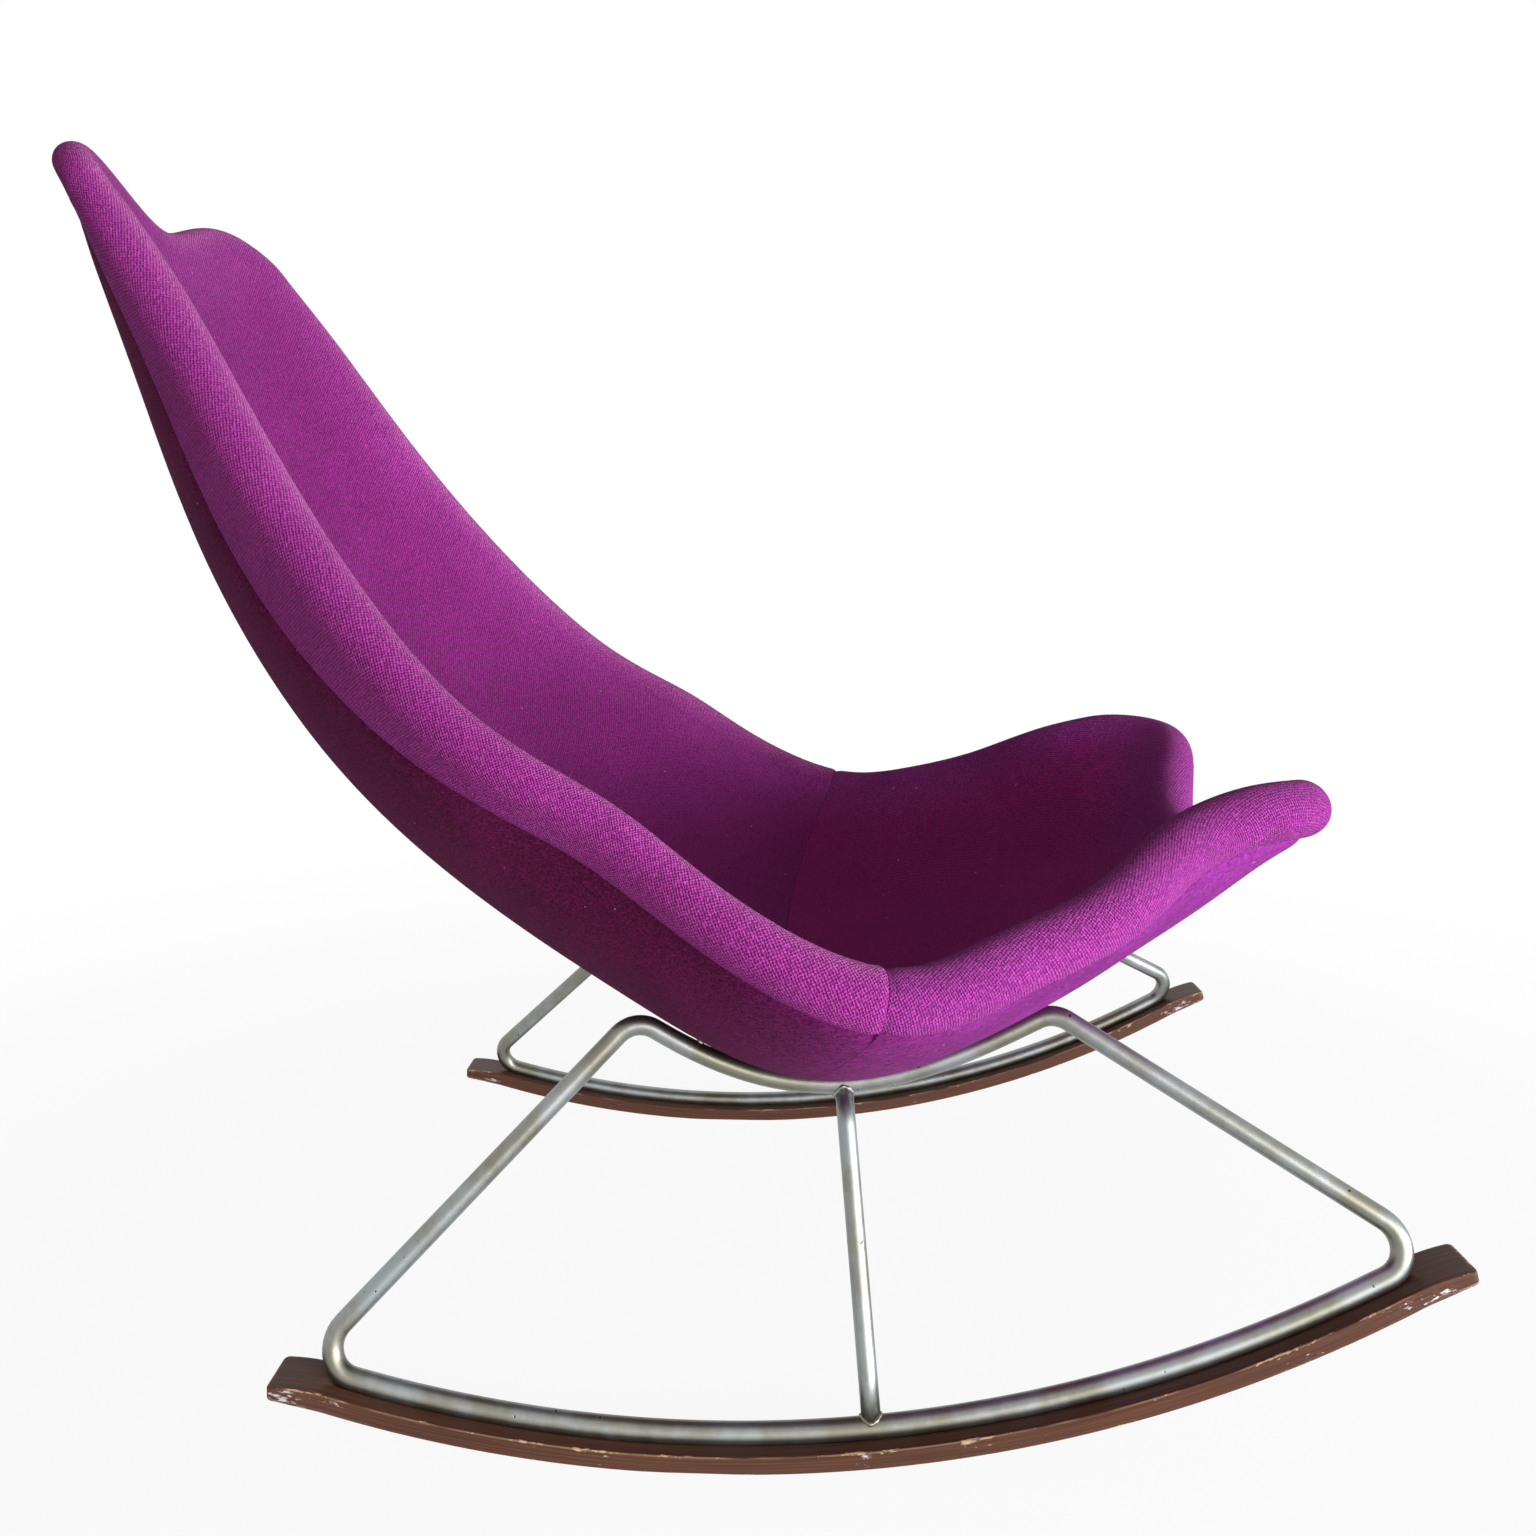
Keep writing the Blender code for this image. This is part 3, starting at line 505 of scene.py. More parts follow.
def plywood_finish(name):
    """Pale veneer: noise stretched along the chair."""
    made, tree, shader = new_finish(name, Roughness=0.6)
    grain = streaks(tree, object_place(tree), *PLY_GRAIN)
    colour = mixed(tree, between(tree, grain, *PLY_RANGE), PLY_DARK, PLY_PALE)
    feed(tree, shader, Base_Color=colour, Normal=bumped(tree, grain, PLY_HEIGHT))
    return made


plywood = plywood_finish("plywood")
print("plywood:", len(plywood.node_tree.nodes), "nodes")

# %% [markdown]
# ## The shell's own surface
# The two shells are one bucket, cut across at the hips. Eleven stations run from the head to the
# front edge, and a spline through them gives, anywhere along the shell, where its middle and its
# side edge lie, how wide it is, and how sharply it turns up from middle to edge. The pads are that
# surface moved along its own normal, so the normal is worked out here as well.

# %% Shell surface
# Each station: forward and up of the middle, forward and up of the edge, half width, and power.
SHELL_STATIONS = (
    (-0.503, 0.880, -0.476, 0.880, 0.157, 2.3),
    (-0.458, 0.735, -0.395, 0.752, 0.182, 2.2),
    (-0.397, 0.586, -0.300, 0.616, 0.237, 2.2),
    (-0.300, 0.446, -0.179, 0.489, 0.297, 2.3),
    (-0.183, 0.339, -0.074, 0.425, 0.315, 2.4),
    (-0.062, 0.265, 0.007, 0.370, 0.339, 2.4),
    (0.053, 0.231, 0.104, 0.325, 0.354, 3.1),
    (0.150, 0.239, 0.187, 0.333, 0.312, 3.0),
    (0.241, 0.273, 0.262, 0.358, 0.274, 2.6),
    (0.355, 0.324, 0.332, 0.392, 0.221, 2.4),
    (0.415, 0.380, 0.413, 0.415, 0.193, 2.4),
)
HEAD_STATION, HIP_STATION, FRONT_STATION = 0, 6, 10
SMALL_STEP = 1e-4
ROCKER_RADIUS = 0.935
REST_FLAT = 0.090
FLOOR_DROP = ROCKER_RADIUS - math.sqrt(ROCKER_RADIUS**2 - (REST_FLAT / 2)**2)


def place(forward, across, up):
    """World points of side-view places: forward is -Y from the rest point, across is X, up is Z."""
    return np.stack(np.broadcast_arrays(across, REST_Y - forward, up - FLOOR_DROP), axis=-1)


def spline(values, position):
    """Natural cubic spline through evenly numbered values, read at fractional positions."""
    values = np.asarray(values, float)
    count = len(values)
    system = 4.0 * np.eye(count) + np.eye(count, k=1) + np.eye(count, k=-1)
    system[[0, -1]] = np.eye(count)[[0, -1]]
    right = np.zeros_like(values)
    right[1:-1] = 6.0 * (values[:-2] - 2.0 * values[1:-1] + values[2:])
    bend = np.linalg.solve(system, right)
    position = np.asarray(position, float)
    start = np.clip(np.floor(position).astype(int), 0, count - 2)
    after = (position - start)[..., None]
    before = 1.0 - after
    straight = before * values[start] + after * values[start + 1]
    return straight + ((before**3 - before) * bend[start] + (after**3 - after) * bend[start + 1]) / 6.0


def shell_point(position, share):
    """Plywood's front face: middle plus (edge minus middle) times share to a power.

    The share runs across the shell, from -1 at one edge to 1 at the other.
    """
    station = spline(SHELL_STATIONS, position)
    rise = np.abs(share)**station[..., 5]
    forward = station[..., 0] + (station[..., 2] - station[..., 0]) * rise
    up = station[..., 1] + (station[..., 3] - station[..., 1]) * rise
    return place(forward, station[..., 4] * share, up)


def shell_slopes(position, share):
    """How fast the surface moves with position and with share: differences over a small step."""
    along = shell_point(position + SMALL_STEP, share) - shell_point(position - SMALL_STEP, share)
    across = shell_point(position, share + SMALL_STEP) - shell_point(position, share - SMALL_STEP)
    return along / (2 * SMALL_STEP), across / (2 * SMALL_STEP)


def shell_normal(position, share):
    """Unit normal towards the sitter: the cross product of the two slopes."""
    return unit(np.cross(*shell_slopes(position, share)))


print("hip point:", shell_point(HIP_STATION, 0.0).round(3))

# %% [markdown]
# ## A face with a rim
# A pad is a grid over its shell, from the hip seam to the free edge, with a collar of rows that runs
# from the grid's rim out and round the plywood's edge. The free edge dips in the middle and turns
# down over two ears. A plain rectangle of points would pinch at the ears, so the collar follows the
# rim as one strip: up one side, along the free edge and down the other side.
# UV places are lengths on the cloth, measured along each row and column and carried on over the rim.

# %% Shell grid
SEAM_GAP = 0.0002
COLUMNS = 57
LENGTH_SAMPLES = 60
CLOSE_ROWS, CLOSE_POWER = 6, 1.3


def end_offset(share, dip, corner, ear):
    """How far the free edge lies in from its ears: a dip between them, and a quarter ellipse outside."""
    share = np.abs(share)
    hollow = dip * (1.0 - np.minimum(share / ear, 1.0)**2)**2
    outer = np.clip((share - ear) / (1.0 - ear), 0.0, 1.0)
    return hollow + corner * (1.0 - np.sqrt(1.0 - outer**2))


def running_length(points, axis):
    """Length along one axis of a grid of points, from its first point to each point."""
    steps = np.linalg.norm(np.diff(points, axis=axis), axis=-1)
    return np.insert(np.cumsum(steps, axis=axis), 0, 0.0, axis=axis)


def shell_grid(end, dip, corner, ear, rows):
    """Station position and share at every point of a grid from the hip seam to a free edge."""
    turn = math.copysign(1.0, end - HIP_STATION)
    line = shell_point(np.linspace(HIP_STATION, end, LENGTH_SAMPLES), np.zeros(LENGTH_SAMPLES))
    step = turn * running_length(line, 0)[-1] / abs(end - HIP_STATION)
    share = np.sin(np.linspace(-1.0, 1.0, COLUMNS) * math.pi / 2)
    start = HIP_STATION + SEAM_GAP / (2 * step)
    stop = end - end_offset(share, dip, corner, ear) / step
    position = start + (stop - start) * rows[:, None]
    return position, np.broadcast_to(share, position.shape)


def cloth_place(position, share):
    """Cloth place of a shell point: length along its cross-section, and length along the middle.

    A cross-section is half width times share across and rise times share to a power up, so its length
    is the integral of the root of both slopes squared, taken at evenly spaced shares.
    """
    station = spline(SHELL_STATIONS, position)
    rise = np.hypot(station[..., 2] - station[..., 0], station[..., 3] - station[..., 1])
    power, width = station[..., 5], station[..., 4]
    parts = np.abs(share)[..., None] * (np.arange(LENGTH_SAMPLES) + 0.5) / LENGTH_SAMPLES
    slope = (rise * power)[..., None] * parts**(power[..., None] - 1.0)
    across = share * np.sqrt(width[..., None]**2 + slope**2).mean(axis=-1)
    stations = np.linspace(0.0, len(SHELL_STATIONS) - 1.0, 10 * LENGTH_SAMPLES)
    along = running_length(shell_point(stations, 0.0 * stations), 0)
    return np.stack([across, np.interp(position, stations, along)], axis=-1)


def row_places(count, near):
    """Shares from hip seam to free edge, close together near both ends."""
    close = near * np.linspace(0.0, 1.0, CLOSE_ROWS + 1)[:-1]**CLOSE_POWER
    return np.concatenate([close, np.linspace(near, 1.0 - near, count), 1.0 - close[::-1]])


# %% Face with a rim
class Face:
    """Grid over a shell: points, normals, lengths to its borders, cloth places, and its rim."""

    def __init__(self, position, share):
        self.position, self.share = position, share
        self.points = shell_point(position, share)
        self.normals = shell_normal(position, share)
        self.from_hip = running_length(self.points, 0)
        self.from_end = self.from_hip[-1] - self.from_hip
        across = running_length(self.points, 1)
        self.from_side = np.minimum(across, across[:, -1:] - across)
        self.cloth = cloth_place(position, share)
        self.number = np.arange(position.size).reshape(position.shape)
        number = self.number
        self.rim = np.concatenate([number[:-1, 0], number[-1], number[-2::-1, -1]])
        self.find_outward()

    def on_rim(self, values):
        """Values of the grid, read along the rim."""
        return values.reshape(self.number.size, *values.shape[2:])[self.rim]

    def find_outward(self):
        """Directions that leave the rim: in space, on the cloth, and as steps of position and share."""
        edge = self.on_rim(self.points)
        out = unit(np.cross(np.gradient(edge, axis=0), self.on_rim(self.normals)))
        away = edge - self.points.reshape(-1, 3).mean(axis=0)
        self.out = out * np.sign((out * away).sum())
        self.edge_cloth = self.on_rim(self.cloth)
        run = unit(np.gradient(self.edge_cloth, axis=0))
        side = np.stack([run[:, 1], -run[:, 0]], axis=-1)
        away = self.edge_cloth - self.cloth.reshape(-1, 2).mean(axis=0)
        self.cloth_out = side * np.sign((side * away).sum())
        slopes = shell_slopes(self.on_rim(self.position), self.on_rim(self.share))
        steps = np.stack(slopes, axis=1)
        gram = steps @ steps.transpose(0, 2, 1)
        self.step_out = np.linalg.solve(gram, (steps @ self.out[..., None]))[..., 0]

    def rim_place(self, reach):
        """Position and share at a reach inwards from the rim, or on the rim for a reach outwards."""
        inward = np.minimum(reach, 0.0)
        position = self.on_rim(self.position) + inward * self.step_out[:, 0]
        return position, self.on_rim(self.share) + inward * self.step_out[:, 1]

    def beyond(self, reach):
        """Points and normals at a reach from the rim: straight out of it, or inwards along the shell."""
        position, share = self.rim_place(reach)
        points = shell_point(position, share) + np.maximum(reach, 0.0)[..., None] * self.out
        return points, shell_normal(position, share)

    def sheet(self, depth, reach, level):
        """Points of the grid at a depth, followed by collar rows at a reach outwards and a level."""
        grid = self.points + np.broadcast_to(depth, self.share.shape)[..., None] * self.normals
        base, normals = self.beyond(reach)
        collar = base + level[..., None] * normals
        return np.concatenate([grid.reshape(-1, 3), collar.reshape(-1, 3)])

    def cloth_sheet(self, length):
        """Cloth places of a sheet whose collar points lie at a length of cloth from the rim."""
        collar = self.edge_cloth + length[..., None] * self.cloth_out
        return np.concatenate([self.cloth.reshape(-1, 2), collar.reshape(-1, 2)])

    def closed(self, rows):
        """Faces of a closed pad: an outer sheet, an inner one, and the wall along their open border."""
        size, count = self.number.size, rows * len(self.rim)
        strips = size + np.arange(count).reshape(rows, -1)
        skin = np.concatenate([quads(self.number), quads(np.vstack([self.rim, strips]))])
        border = np.concatenate([strips[-1], strips[-2::-1, -1], self.number[0, ::-1], strips[:-1, 0]])
        shift = size + count
        after = np.roll(border, -1)
        wall = np.stack([border, after, after + shift, border + shift], axis=-1)
        return np.concatenate([skin, skin[:, ::-1] + shift, wall]), border

    def moved_rim(self, reach):
        """The same grid with its rim moved by a reach: the rim's steps, spread evenly over the grid.

        The steps of the two sides are blended across, and what the free edge adds grows from the hip.
        """
        step = reach[:, None] * self.step_out
        rows, columns = self.share.shape
        left, right, end = step[:rows], step[::-1][:rows], step[rows - 1:rows - 1 + columns]
        across = np.linspace(0.0, 1.0, columns)[:, None]
        along = np.linspace(0.0, 1.0, rows)[:, None, None]
        spread = left[:, None] + (right - left)[:, None] * across
        spread = spread + along * (end - (end[0] + (end[-1] - end[0]) * across))
        return Face(self.position + spread[..., 0], self.share + spread[..., 1])


HEAD_DIP, HEAD_CORNER, HEAD_EAR_PLACE = 0.036, 0.019, 0.82
FRONT_DIP, FRONT_CORNER, FRONT_EAR_PLACE = 0.068, 0.056, 0.82
BACK_ROWS, SEAT_ROWS = (64, 0.020), (34, 0.040)
back_grid = shell_grid(HEAD_STATION, HEAD_DIP, HEAD_CORNER, HEAD_EAR_PLACE, row_places(*BACK_ROWS))
seat_grid = shell_grid(FRONT_STATION, FRONT_DIP, FRONT_CORNER, FRONT_EAR_PLACE, row_places(*SEAT_ROWS))
back_face, seat_face = Face(*back_grid), Face(*seat_grid)
print("back grid", back_face.share.shape, "seat grid", seat_face.share.shape)

# %% [markdown]
# ## Pads
# On the real chair the wool is pulled over foam, round the plywood's edge, and sewn behind it. Where
# it is sewn it is drawn in, and between the seams the foam pushes it out. So each pad starts a little
# small, tucked in along its seams, and is then blown up as cloth by an inner pressure while its seams
# and its hidden side are held. How far a point may move is capped, so that the pad keeps its size.
# The seam behind the back isn't parallel to the edge: it lies just outside it at the hips and wanders
# inwards towards the shoulders. A list of reaches, one for each station, says where. Another list says
# how much lower the back's rim is above the hips, where a superellipse keeps its roll full.

# %% Pad sizes
FIT_GAP = 0.0003
COVER_FRONT = 0.0248
COVER_REAR = -0.0178
PLY_REAR = -0.0090
ROLL_REACH = 0.0140
PLY_INSET = 0.0060
PAD_SHRINK = 0.0012
SWELL_CAP = 0.0026
SEAM_TUCK = 0.0020
SEAM_WIDTH = 0.0040
HIP_TUCK, HIP_TUCK_POWER = 0.0006, 8
BACK_HIP = (0.0010, 0.0025)
SEAT_HIP = (0.0020, 0.0060)
HEAD_FRONT_THIN = 0.0062
HEAD_REAR_THIN = 0.0055
HEAD_THIN_STATIONS = 0.50
RIM_THIN = (0.0, 0.0, 0.0, 0.006, 0.012, 0.008, 0.0)
RIM_THIN_POWER, RIM_BOXY = 6, 33.0
FLAP_POWER = 0.7
UNDER_RIM = 0.001
ROLL_ROWS = 12
FLAP_ROWS = 12
# How far the painted light on the rim reaches in, before the hollow's painted shade.
CREST_WIDTH = 0.045
# Where the paler band lies inside the rim, partly rubbed and partly a painted highlight.
RIDGE_PLACE, RIDGE_WIDTH = 0.028, 0.012
BACK_SEAM = (-0.020, -0.022, -0.040, -0.020, -0.008, 0.001, 0.008)
SEAT_SEAM = (0.013, 0.012, 0.008, 0.002, 0.004)


def tuck(distance, depth, width):
    """A valley along a seam: depth times a bell curve of the distance from the seam."""
    return depth * np.exp(-(distance / width)**2)


def hip_tuck(face, hip):
    """Valley at the hip seam, shallow in the hollow and as deep as hip says where the two rims meet."""
    depth, width = hip
    return tuck(face.from_hip, HIP_TUCK + (depth - HIP_TUCK) * np.abs(face.share)**HIP_TUCK_POWER, width)


def ear_share(position, share):
    """How much of the ears' thinning a shell point gets: a bell curve down from the head."""
    return share**2 * np.exp(-(position / HEAD_THIN_STATIONS)**2)


def rim_thin(face):
    """How much lower the rim lies than the hollow: a spline through one value for each back station."""
    station = np.minimum(face.position, HIP_STATION)
    return spline(np.array(RIM_THIN)[:, None], station)[..., 0] * np.abs(face.share)**RIM_THIN_POWER


def front_depth(face, hip):
    """How far a front pad stands off its plywood: less at its rim, the hip seam and the head's ears."""
    ears = HEAD_FRONT_THIN * ear_share(face.position, face.share)
    return COVER_FRONT - PAD_SHRINK - hip_tuck(face, hip) - ears - rim_thin(face)


def rear_depth(position, share):
    """Level of the chair's rear skin: nearer to the plywood at the head's ears."""
    return COVER_REAR + PAD_SHRINK + HEAD_REAR_THIN * ear_share(position, share)


def front_profile(face, seam, hip):
    """Collar rows of a front pad, as reach and level: a half-round roll, then the flap to the seam.

    Where the rim is lower, the front quarter of the roll is a superellipse, so that it stays as full.
    """
    angle = np.linspace(0.0, math.pi, ROLL_ROWS + 1)[:, None]
    lower = face.on_rim(rim_thin(face))
    power = np.where(angle < math.pi / 2, 1.0 - RIM_BOXY * lower, 1.0)
    front = face.on_rim(front_depth(face, hip))
    drawn_in = face.on_rim(hip_tuck(face, hip))
    rear = drawn_in + face.on_rim(rear_depth(face.position, face.share))
    radius, middle = (front - rear) / 2, (front + rear) / 2
    flap = np.linspace(0.0, 1.0, FLAP_ROWS + 1)[1:, None]**FLAP_POWER
    inward = ROLL_REACH + (seam - ROLL_REACH) * flap
    sunk = drawn_in + rear_depth(*face.rim_place(inward)) + tuck(inward - seam, SEAM_TUCK, SEAM_WIDTH)
    outward = (radius + lower / 2) * np.abs(np.sin(angle))**power
    upward = radius * np.sign(np.cos(angle)) * np.abs(np.cos(angle))**power
    reach = np.concatenate([ROLL_REACH + outward, inward])
    level = np.concatenate([middle + upward, sunk])
    return reach, level


def cloth_length(reach):
    """Length of cloth from the rim to each collar row, for a roll without tucks."""
    turn = np.linspace(0.0, math.pi, ROLL_ROWS + 1)[:, None] * (COVER_FRONT - COVER_REAR) / 2
    length = ROLL_REACH + turn[-1] + ROLL_REACH - reach
    length[:ROLL_ROWS + 1] = ROLL_REACH + turn
    return length


def inner_profile(reach):
    """Collar rows under a front pad: out over the plywood, round its edge, and in behind it."""
    edge, behind = ROLL_REACH - PLY_INSET + FIT_GAP, PLY_REAR - FIT_GAP
    share, corners = np.linspace(0.0, 1.0, ROLL_ROWS + 1), (0.0, 0.5, 1.0)
    over = np.interp(share, corners, (UNDER_RIM, edge, edge))
    down = np.interp(share, corners, (FIT_GAP, FIT_GAP, behind))
    inner = np.minimum(reach, edge)
    inner[:ROLL_ROWS + 1] = over[:, None]
    level = np.full(reach.shape, behind)
    level[:ROLL_ROWS + 1] = down[:, None]
    return inner, level


def pad_piece(name, face, outer, inner, length, **values):
    """Closed pad of an outer and an inner sheet, and the points that are held while it swells."""
    faces, border = face.closed(len(length))
    cloth = np.tile(face.cloth_sheet(length), (2, 1))
    doubled = {key: np.tile(value, 2) for key, value in values.items()}
    pad = new_piece(name, np.concatenate([outer, inner]), faces, cloth, **doubled)
    return pad, np.concatenate([border, len(outer) + np.arange(len(inner))])


def front_pad(name, face, seam, hip):
    """Closed pad of cover and foam in front of the plywood and round its edge."""
    reach, level = front_profile(face, seam, hip)
    length = cloth_length(reach)
    outer = face.sheet(front_depth(face, hip), reach, level)
    inner = face.sheet(FIT_GAP, *inner_profile(reach))
    inside = np.minimum(face.from_side, face.from_end)
    from_rim = np.concatenate([-inside.ravel(), length.ravel()])
    # The colour share is 1 on the rim, in painted light, and fades inwards to painted shade in the hollow.
    crest = np.concatenate([np.exp(-(inside / CREST_WIDTH)**2).ravel(), np.ones(reach.size)])
    # The band inside the rim is paler: partly rubbed, partly a painted highlight.
    ridge = tuck(from_rim - RIDGE_PLACE, 1.0, RIDGE_WIDTH)
    return pad_piece(name, face, outer, inner, length, crest=crest, ridge=ridge)


def rear_pad(name, face):
    """Closed panel of cover and wadding behind the plywood, tucked in along its seam with the flap."""
    inside = np.minimum(face.from_side, face.from_end)
    depth = rear_depth(face.position, face.share)
    reach = np.full((1, len(face.rim)), SEAM_GAP)
    level = 0.0 * reach + face.on_rim(depth) + SEAM_TUCK
    outer = face.sheet(depth + tuck(inside, SEAM_TUCK, SEAM_WIDTH), reach, level)
    inner = face.sheet(PLY_REAR - FIT_GAP, reach, 0.0 * reach + PLY_REAR - FIT_GAP)
    return pad_piece(name, face, outer, inner, reach)


def seam_reach(face, reaches, first):
    """Reach of the seam from the rim: a spline through one value for each station."""
    return spline(np.array(reaches)[:, None], face.on_rim(face.position) - first)[:, 0]


back_seam = seam_reach(back_face, BACK_SEAM, HEAD_STATION)
seat_seam = seam_reach(seat_face, SEAT_SEAM, HIP_STATION)
back_rear_face = back_face.moved_rim(back_seam - 2 * SEAM_GAP)
seat_under_face = seat_face.moved_rim(seat_seam - 2 * SEAM_GAP)
print("seam reach from", back_seam.min().round(3), "to", back_seam.max().round(3))

# %% [markdown]
# ## Swelling the pads
# Blender's cloth does the blowing up: pressure inside a closed mesh, no gravity, and a vertex group
# that pins what is sewn. Twenty frames are enough, because only the first few millimetres are wanted.

# %% Swell
PRESSURE = 4.0
SWELL_FRAMES = 20
CLOTH_QUALITY = 4
SEAM_CREASE = 0.65
FRONT_FILL, REAR_FILL = 0.9, 0.7
TINY = 1e-9


def read_points(mesh):
    """A mesh's points as an array."""
    flat = np.zeros(len(mesh.vertices) * 3, np.float32)
    mesh.vertices.foreach_get("co", flat)
    return flat.reshape(-1, 3).astype(float)


def swell(pad, held, cap):
    """Blow up a closed pad as cloth, pinned at the held points, and move no point further than cap."""
    pins = pad.vertex_groups.new(name="held")
    pins.add(np.unique(held).tolist(), 1.0, "REPLACE")
    cloth = pad.modifiers.new("cloth", "CLOTH")
    cloth.settings.quality = CLOTH_QUALITY
    cloth.settings.use_pressure = True
    cloth.settings.uniform_pressure_force = PRESSURE
    cloth.settings.vertex_group_mass = pins.name
    cloth.settings.effector_weights.gravity = 0.0
    for step in range(1, SWELL_FRAMES + 1):
        bpy.context.scene.frame_set(step)
    rest = read_points(pad.data)
    moved = read_points(pad.evaluated_get(bpy.context.evaluated_depsgraph_get()).data) - rest
    length = np.linalg.norm(moved, axis=1, keepdims=True)
    moved *= np.minimum(1.0, cap / np.maximum(length, TINY))
    pad.modifiers.remove(cloth)
    pad.vertex_groups.remove(pins)
    pad.data.vertices.foreach_set("co", (rest + moved).astype(np.float32).ravel())
    pad.data.update()
    bpy.context.scene.frame_set(1)
    print(f"{pad.name} swelled by {1000 * np.median(length):.1f} mm before the cap")


def keep_sharp(piece, points):
    """Creases the edges between some points, so that a subdivision doesn't round them off."""
    ends = np.zeros(2 * len(piece.data.edges), np.int32)
    piece.data.edges.foreach_get("vertices", ends)
    sharp = np.isin(ends.reshape(-1, 2), points).all(axis=1)
    crease = piece.data.attributes.new("crease_edge", "FLOAT", "EDGE")
    crease.data.foreach_set("value", SEAM_CREASE * sharp.astype(np.float32))


def finish_pad(pad, held, cap, fill, finish, slot, *nodes):
    swell(pad, held, cap)
    keep_sharp(pad, held)
    subdivide(pad)
    dress(pad, finish, slot, *nodes)


finish_pad(*front_pad("back_front_pad", back_face, back_seam, BACK_HIP), SWELL_CAP, FRONT_FILL, back_wool,
           "wool_cover", "back_front_cover", "back_foam")
finish_pad(*front_pad("seat_top_pad", seat_face, seat_seam, SEAT_HIP), SWELL_CAP, FRONT_FILL, seat_wool,
           "wool_cover", "seat_top_cover", "seat_foam")
finish_pad(*rear_pad("back_rear_pad", back_rear_face), PAD_SHRINK, REAR_FILL, felt, "felted_cover",
           "back_rear_cover", "back_rear_wadding")
finish_pad(*rear_pad("seat_under_pad", seat_under_face), PAD_SHRINK, REAR_FILL, felt, "felted_cover",
           "seat_under_cover", "seat_under_wadding")

# %% [markdown]
# ## Side frames
# Each side frame is one round bar, bent into a loop: an arc that lies in the rocker, two legs, and a
# top bar that runs under the shell and follows its surface. A bar is a circle carried along a path.
# The path is put together from the arc, the line under the shell and four bends, each an arc that
# touches both of its neighbours.

# %% Bar paths
BAR_RADIUS = 0.007
BAR_GAP = 0.0005
ROCKER_THICKNESS = 0.0115
GROOVE_DEPTH = 0.0025
ROCKER_HALF_SPAN = 0.265
BAR_ARC_RADIUS = ROCKER_RADIUS - ROCKER_THICKNESS + GROOVE_DEPTH - BAR_RADIUS
BAR_REAR_FOOT = 0.267
BAR_FRONT_FOOT = 0.473
BAR_FOOT_LEAD = 0.048
BAR_FOOT_BEND = 0.020
BAR_TOP_BEND = 0.022
BAR_TOP_ACROSS = 0.178
BAR_TOP_REAR = 5.23
BAR_TOP_FRONT = 7.64
BAR_SIDES = 28
ARC_STEPS, TOP_STEPS, BEND_STEPS = 80, 60, 14
SIDES = (("left", 1.0), ("right", -1.0))


def bar_arc(forward):
    """Height of the bottom bar's middle above a forward place: a circle round the rocker's centre."""
    return ROCKER_RADIUS - np.sqrt(BAR_ARC_RADIUS**2 - forward**2)


def bar_foot(forward, sign):
    """Where the bar leaves its arc before a foot, and the foot's corner on the tangent from there."""
    base = forward - math.copysign(BAR_FOOT_LEAD, forward)
    slope = base / (ROCKER_RADIUS - bar_arc(base))
    return base, place(forward, sign * ROCKER_HALF_SPAN, bar_arc(base) + slope * (forward - base))


def bar_under_shell(station, sign):
    """Middle of the top bar under the shell: its surface moved along its normal."""
    share = sign * BAR_TOP_ACROSS / spline(SHELL_STATIONS, station)[..., 4]
    depth = COVER_REAR - BAR_GAP - BAR_RADIUS
    return shell_point(station, share) + depth * shell_normal(station, share)


def bend(before, corner, after, radius):
    """Arc of one radius that touches both lines at a corner."""
    back, ahead = unit(before - corner), unit(after - corner)
    half = math.acos(float(np.clip(back @ ahead, -1.0, 1.0))) / 2
    centre = corner + unit(back + ahead) * radius / math.sin(half)
    start = corner + back * radius / math.tan(half) - centre
    stop = corner + ahead * radius / math.tan(half) - centre
    sweep = math.pi - 2 * half
    turn = np.linspace(0.0, sweep, BEND_STEPS)[:, None]
    return centre + (np.sin(sweep - turn) * start + np.sin(turn) * stop) / math.sin(sweep)


def frame_path(sign):
    """Closed middle line of a side frame: bottom arc, front leg, bar under the shell, rear leg."""
    rear_base, rear_foot = bar_foot(-BAR_REAR_FOOT, sign)
    front_base, front_foot = bar_foot(BAR_FRONT_FOOT, sign)
    forward = np.linspace(rear_base, front_base, ARC_STEPS)
    bottom = place(forward, sign * ROCKER_HALF_SPAN, bar_arc(forward))
    top = bar_under_shell(np.linspace(BAR_TOP_FRONT, BAR_TOP_REAR, TOP_STEPS), sign)
    front_shoulder = top[0] + unit(top[0] - top[1]) * BAR_TOP_BEND
    rear_shoulder = top[-1] + unit(top[-1] - top[-2]) * BAR_TOP_BEND
    return np.concatenate([
        bottom,
        bend(bottom[-1], front_foot, front_shoulder, BAR_FOOT_BEND),
        bend(front_foot, front_shoulder, top[0], BAR_TOP_BEND),
        top,
        bend(top[-1], rear_shoulder, rear_foot, BAR_TOP_BEND),
        bend(rear_shoulder, rear_foot, bottom[0], BAR_FOOT_BEND),
    ])


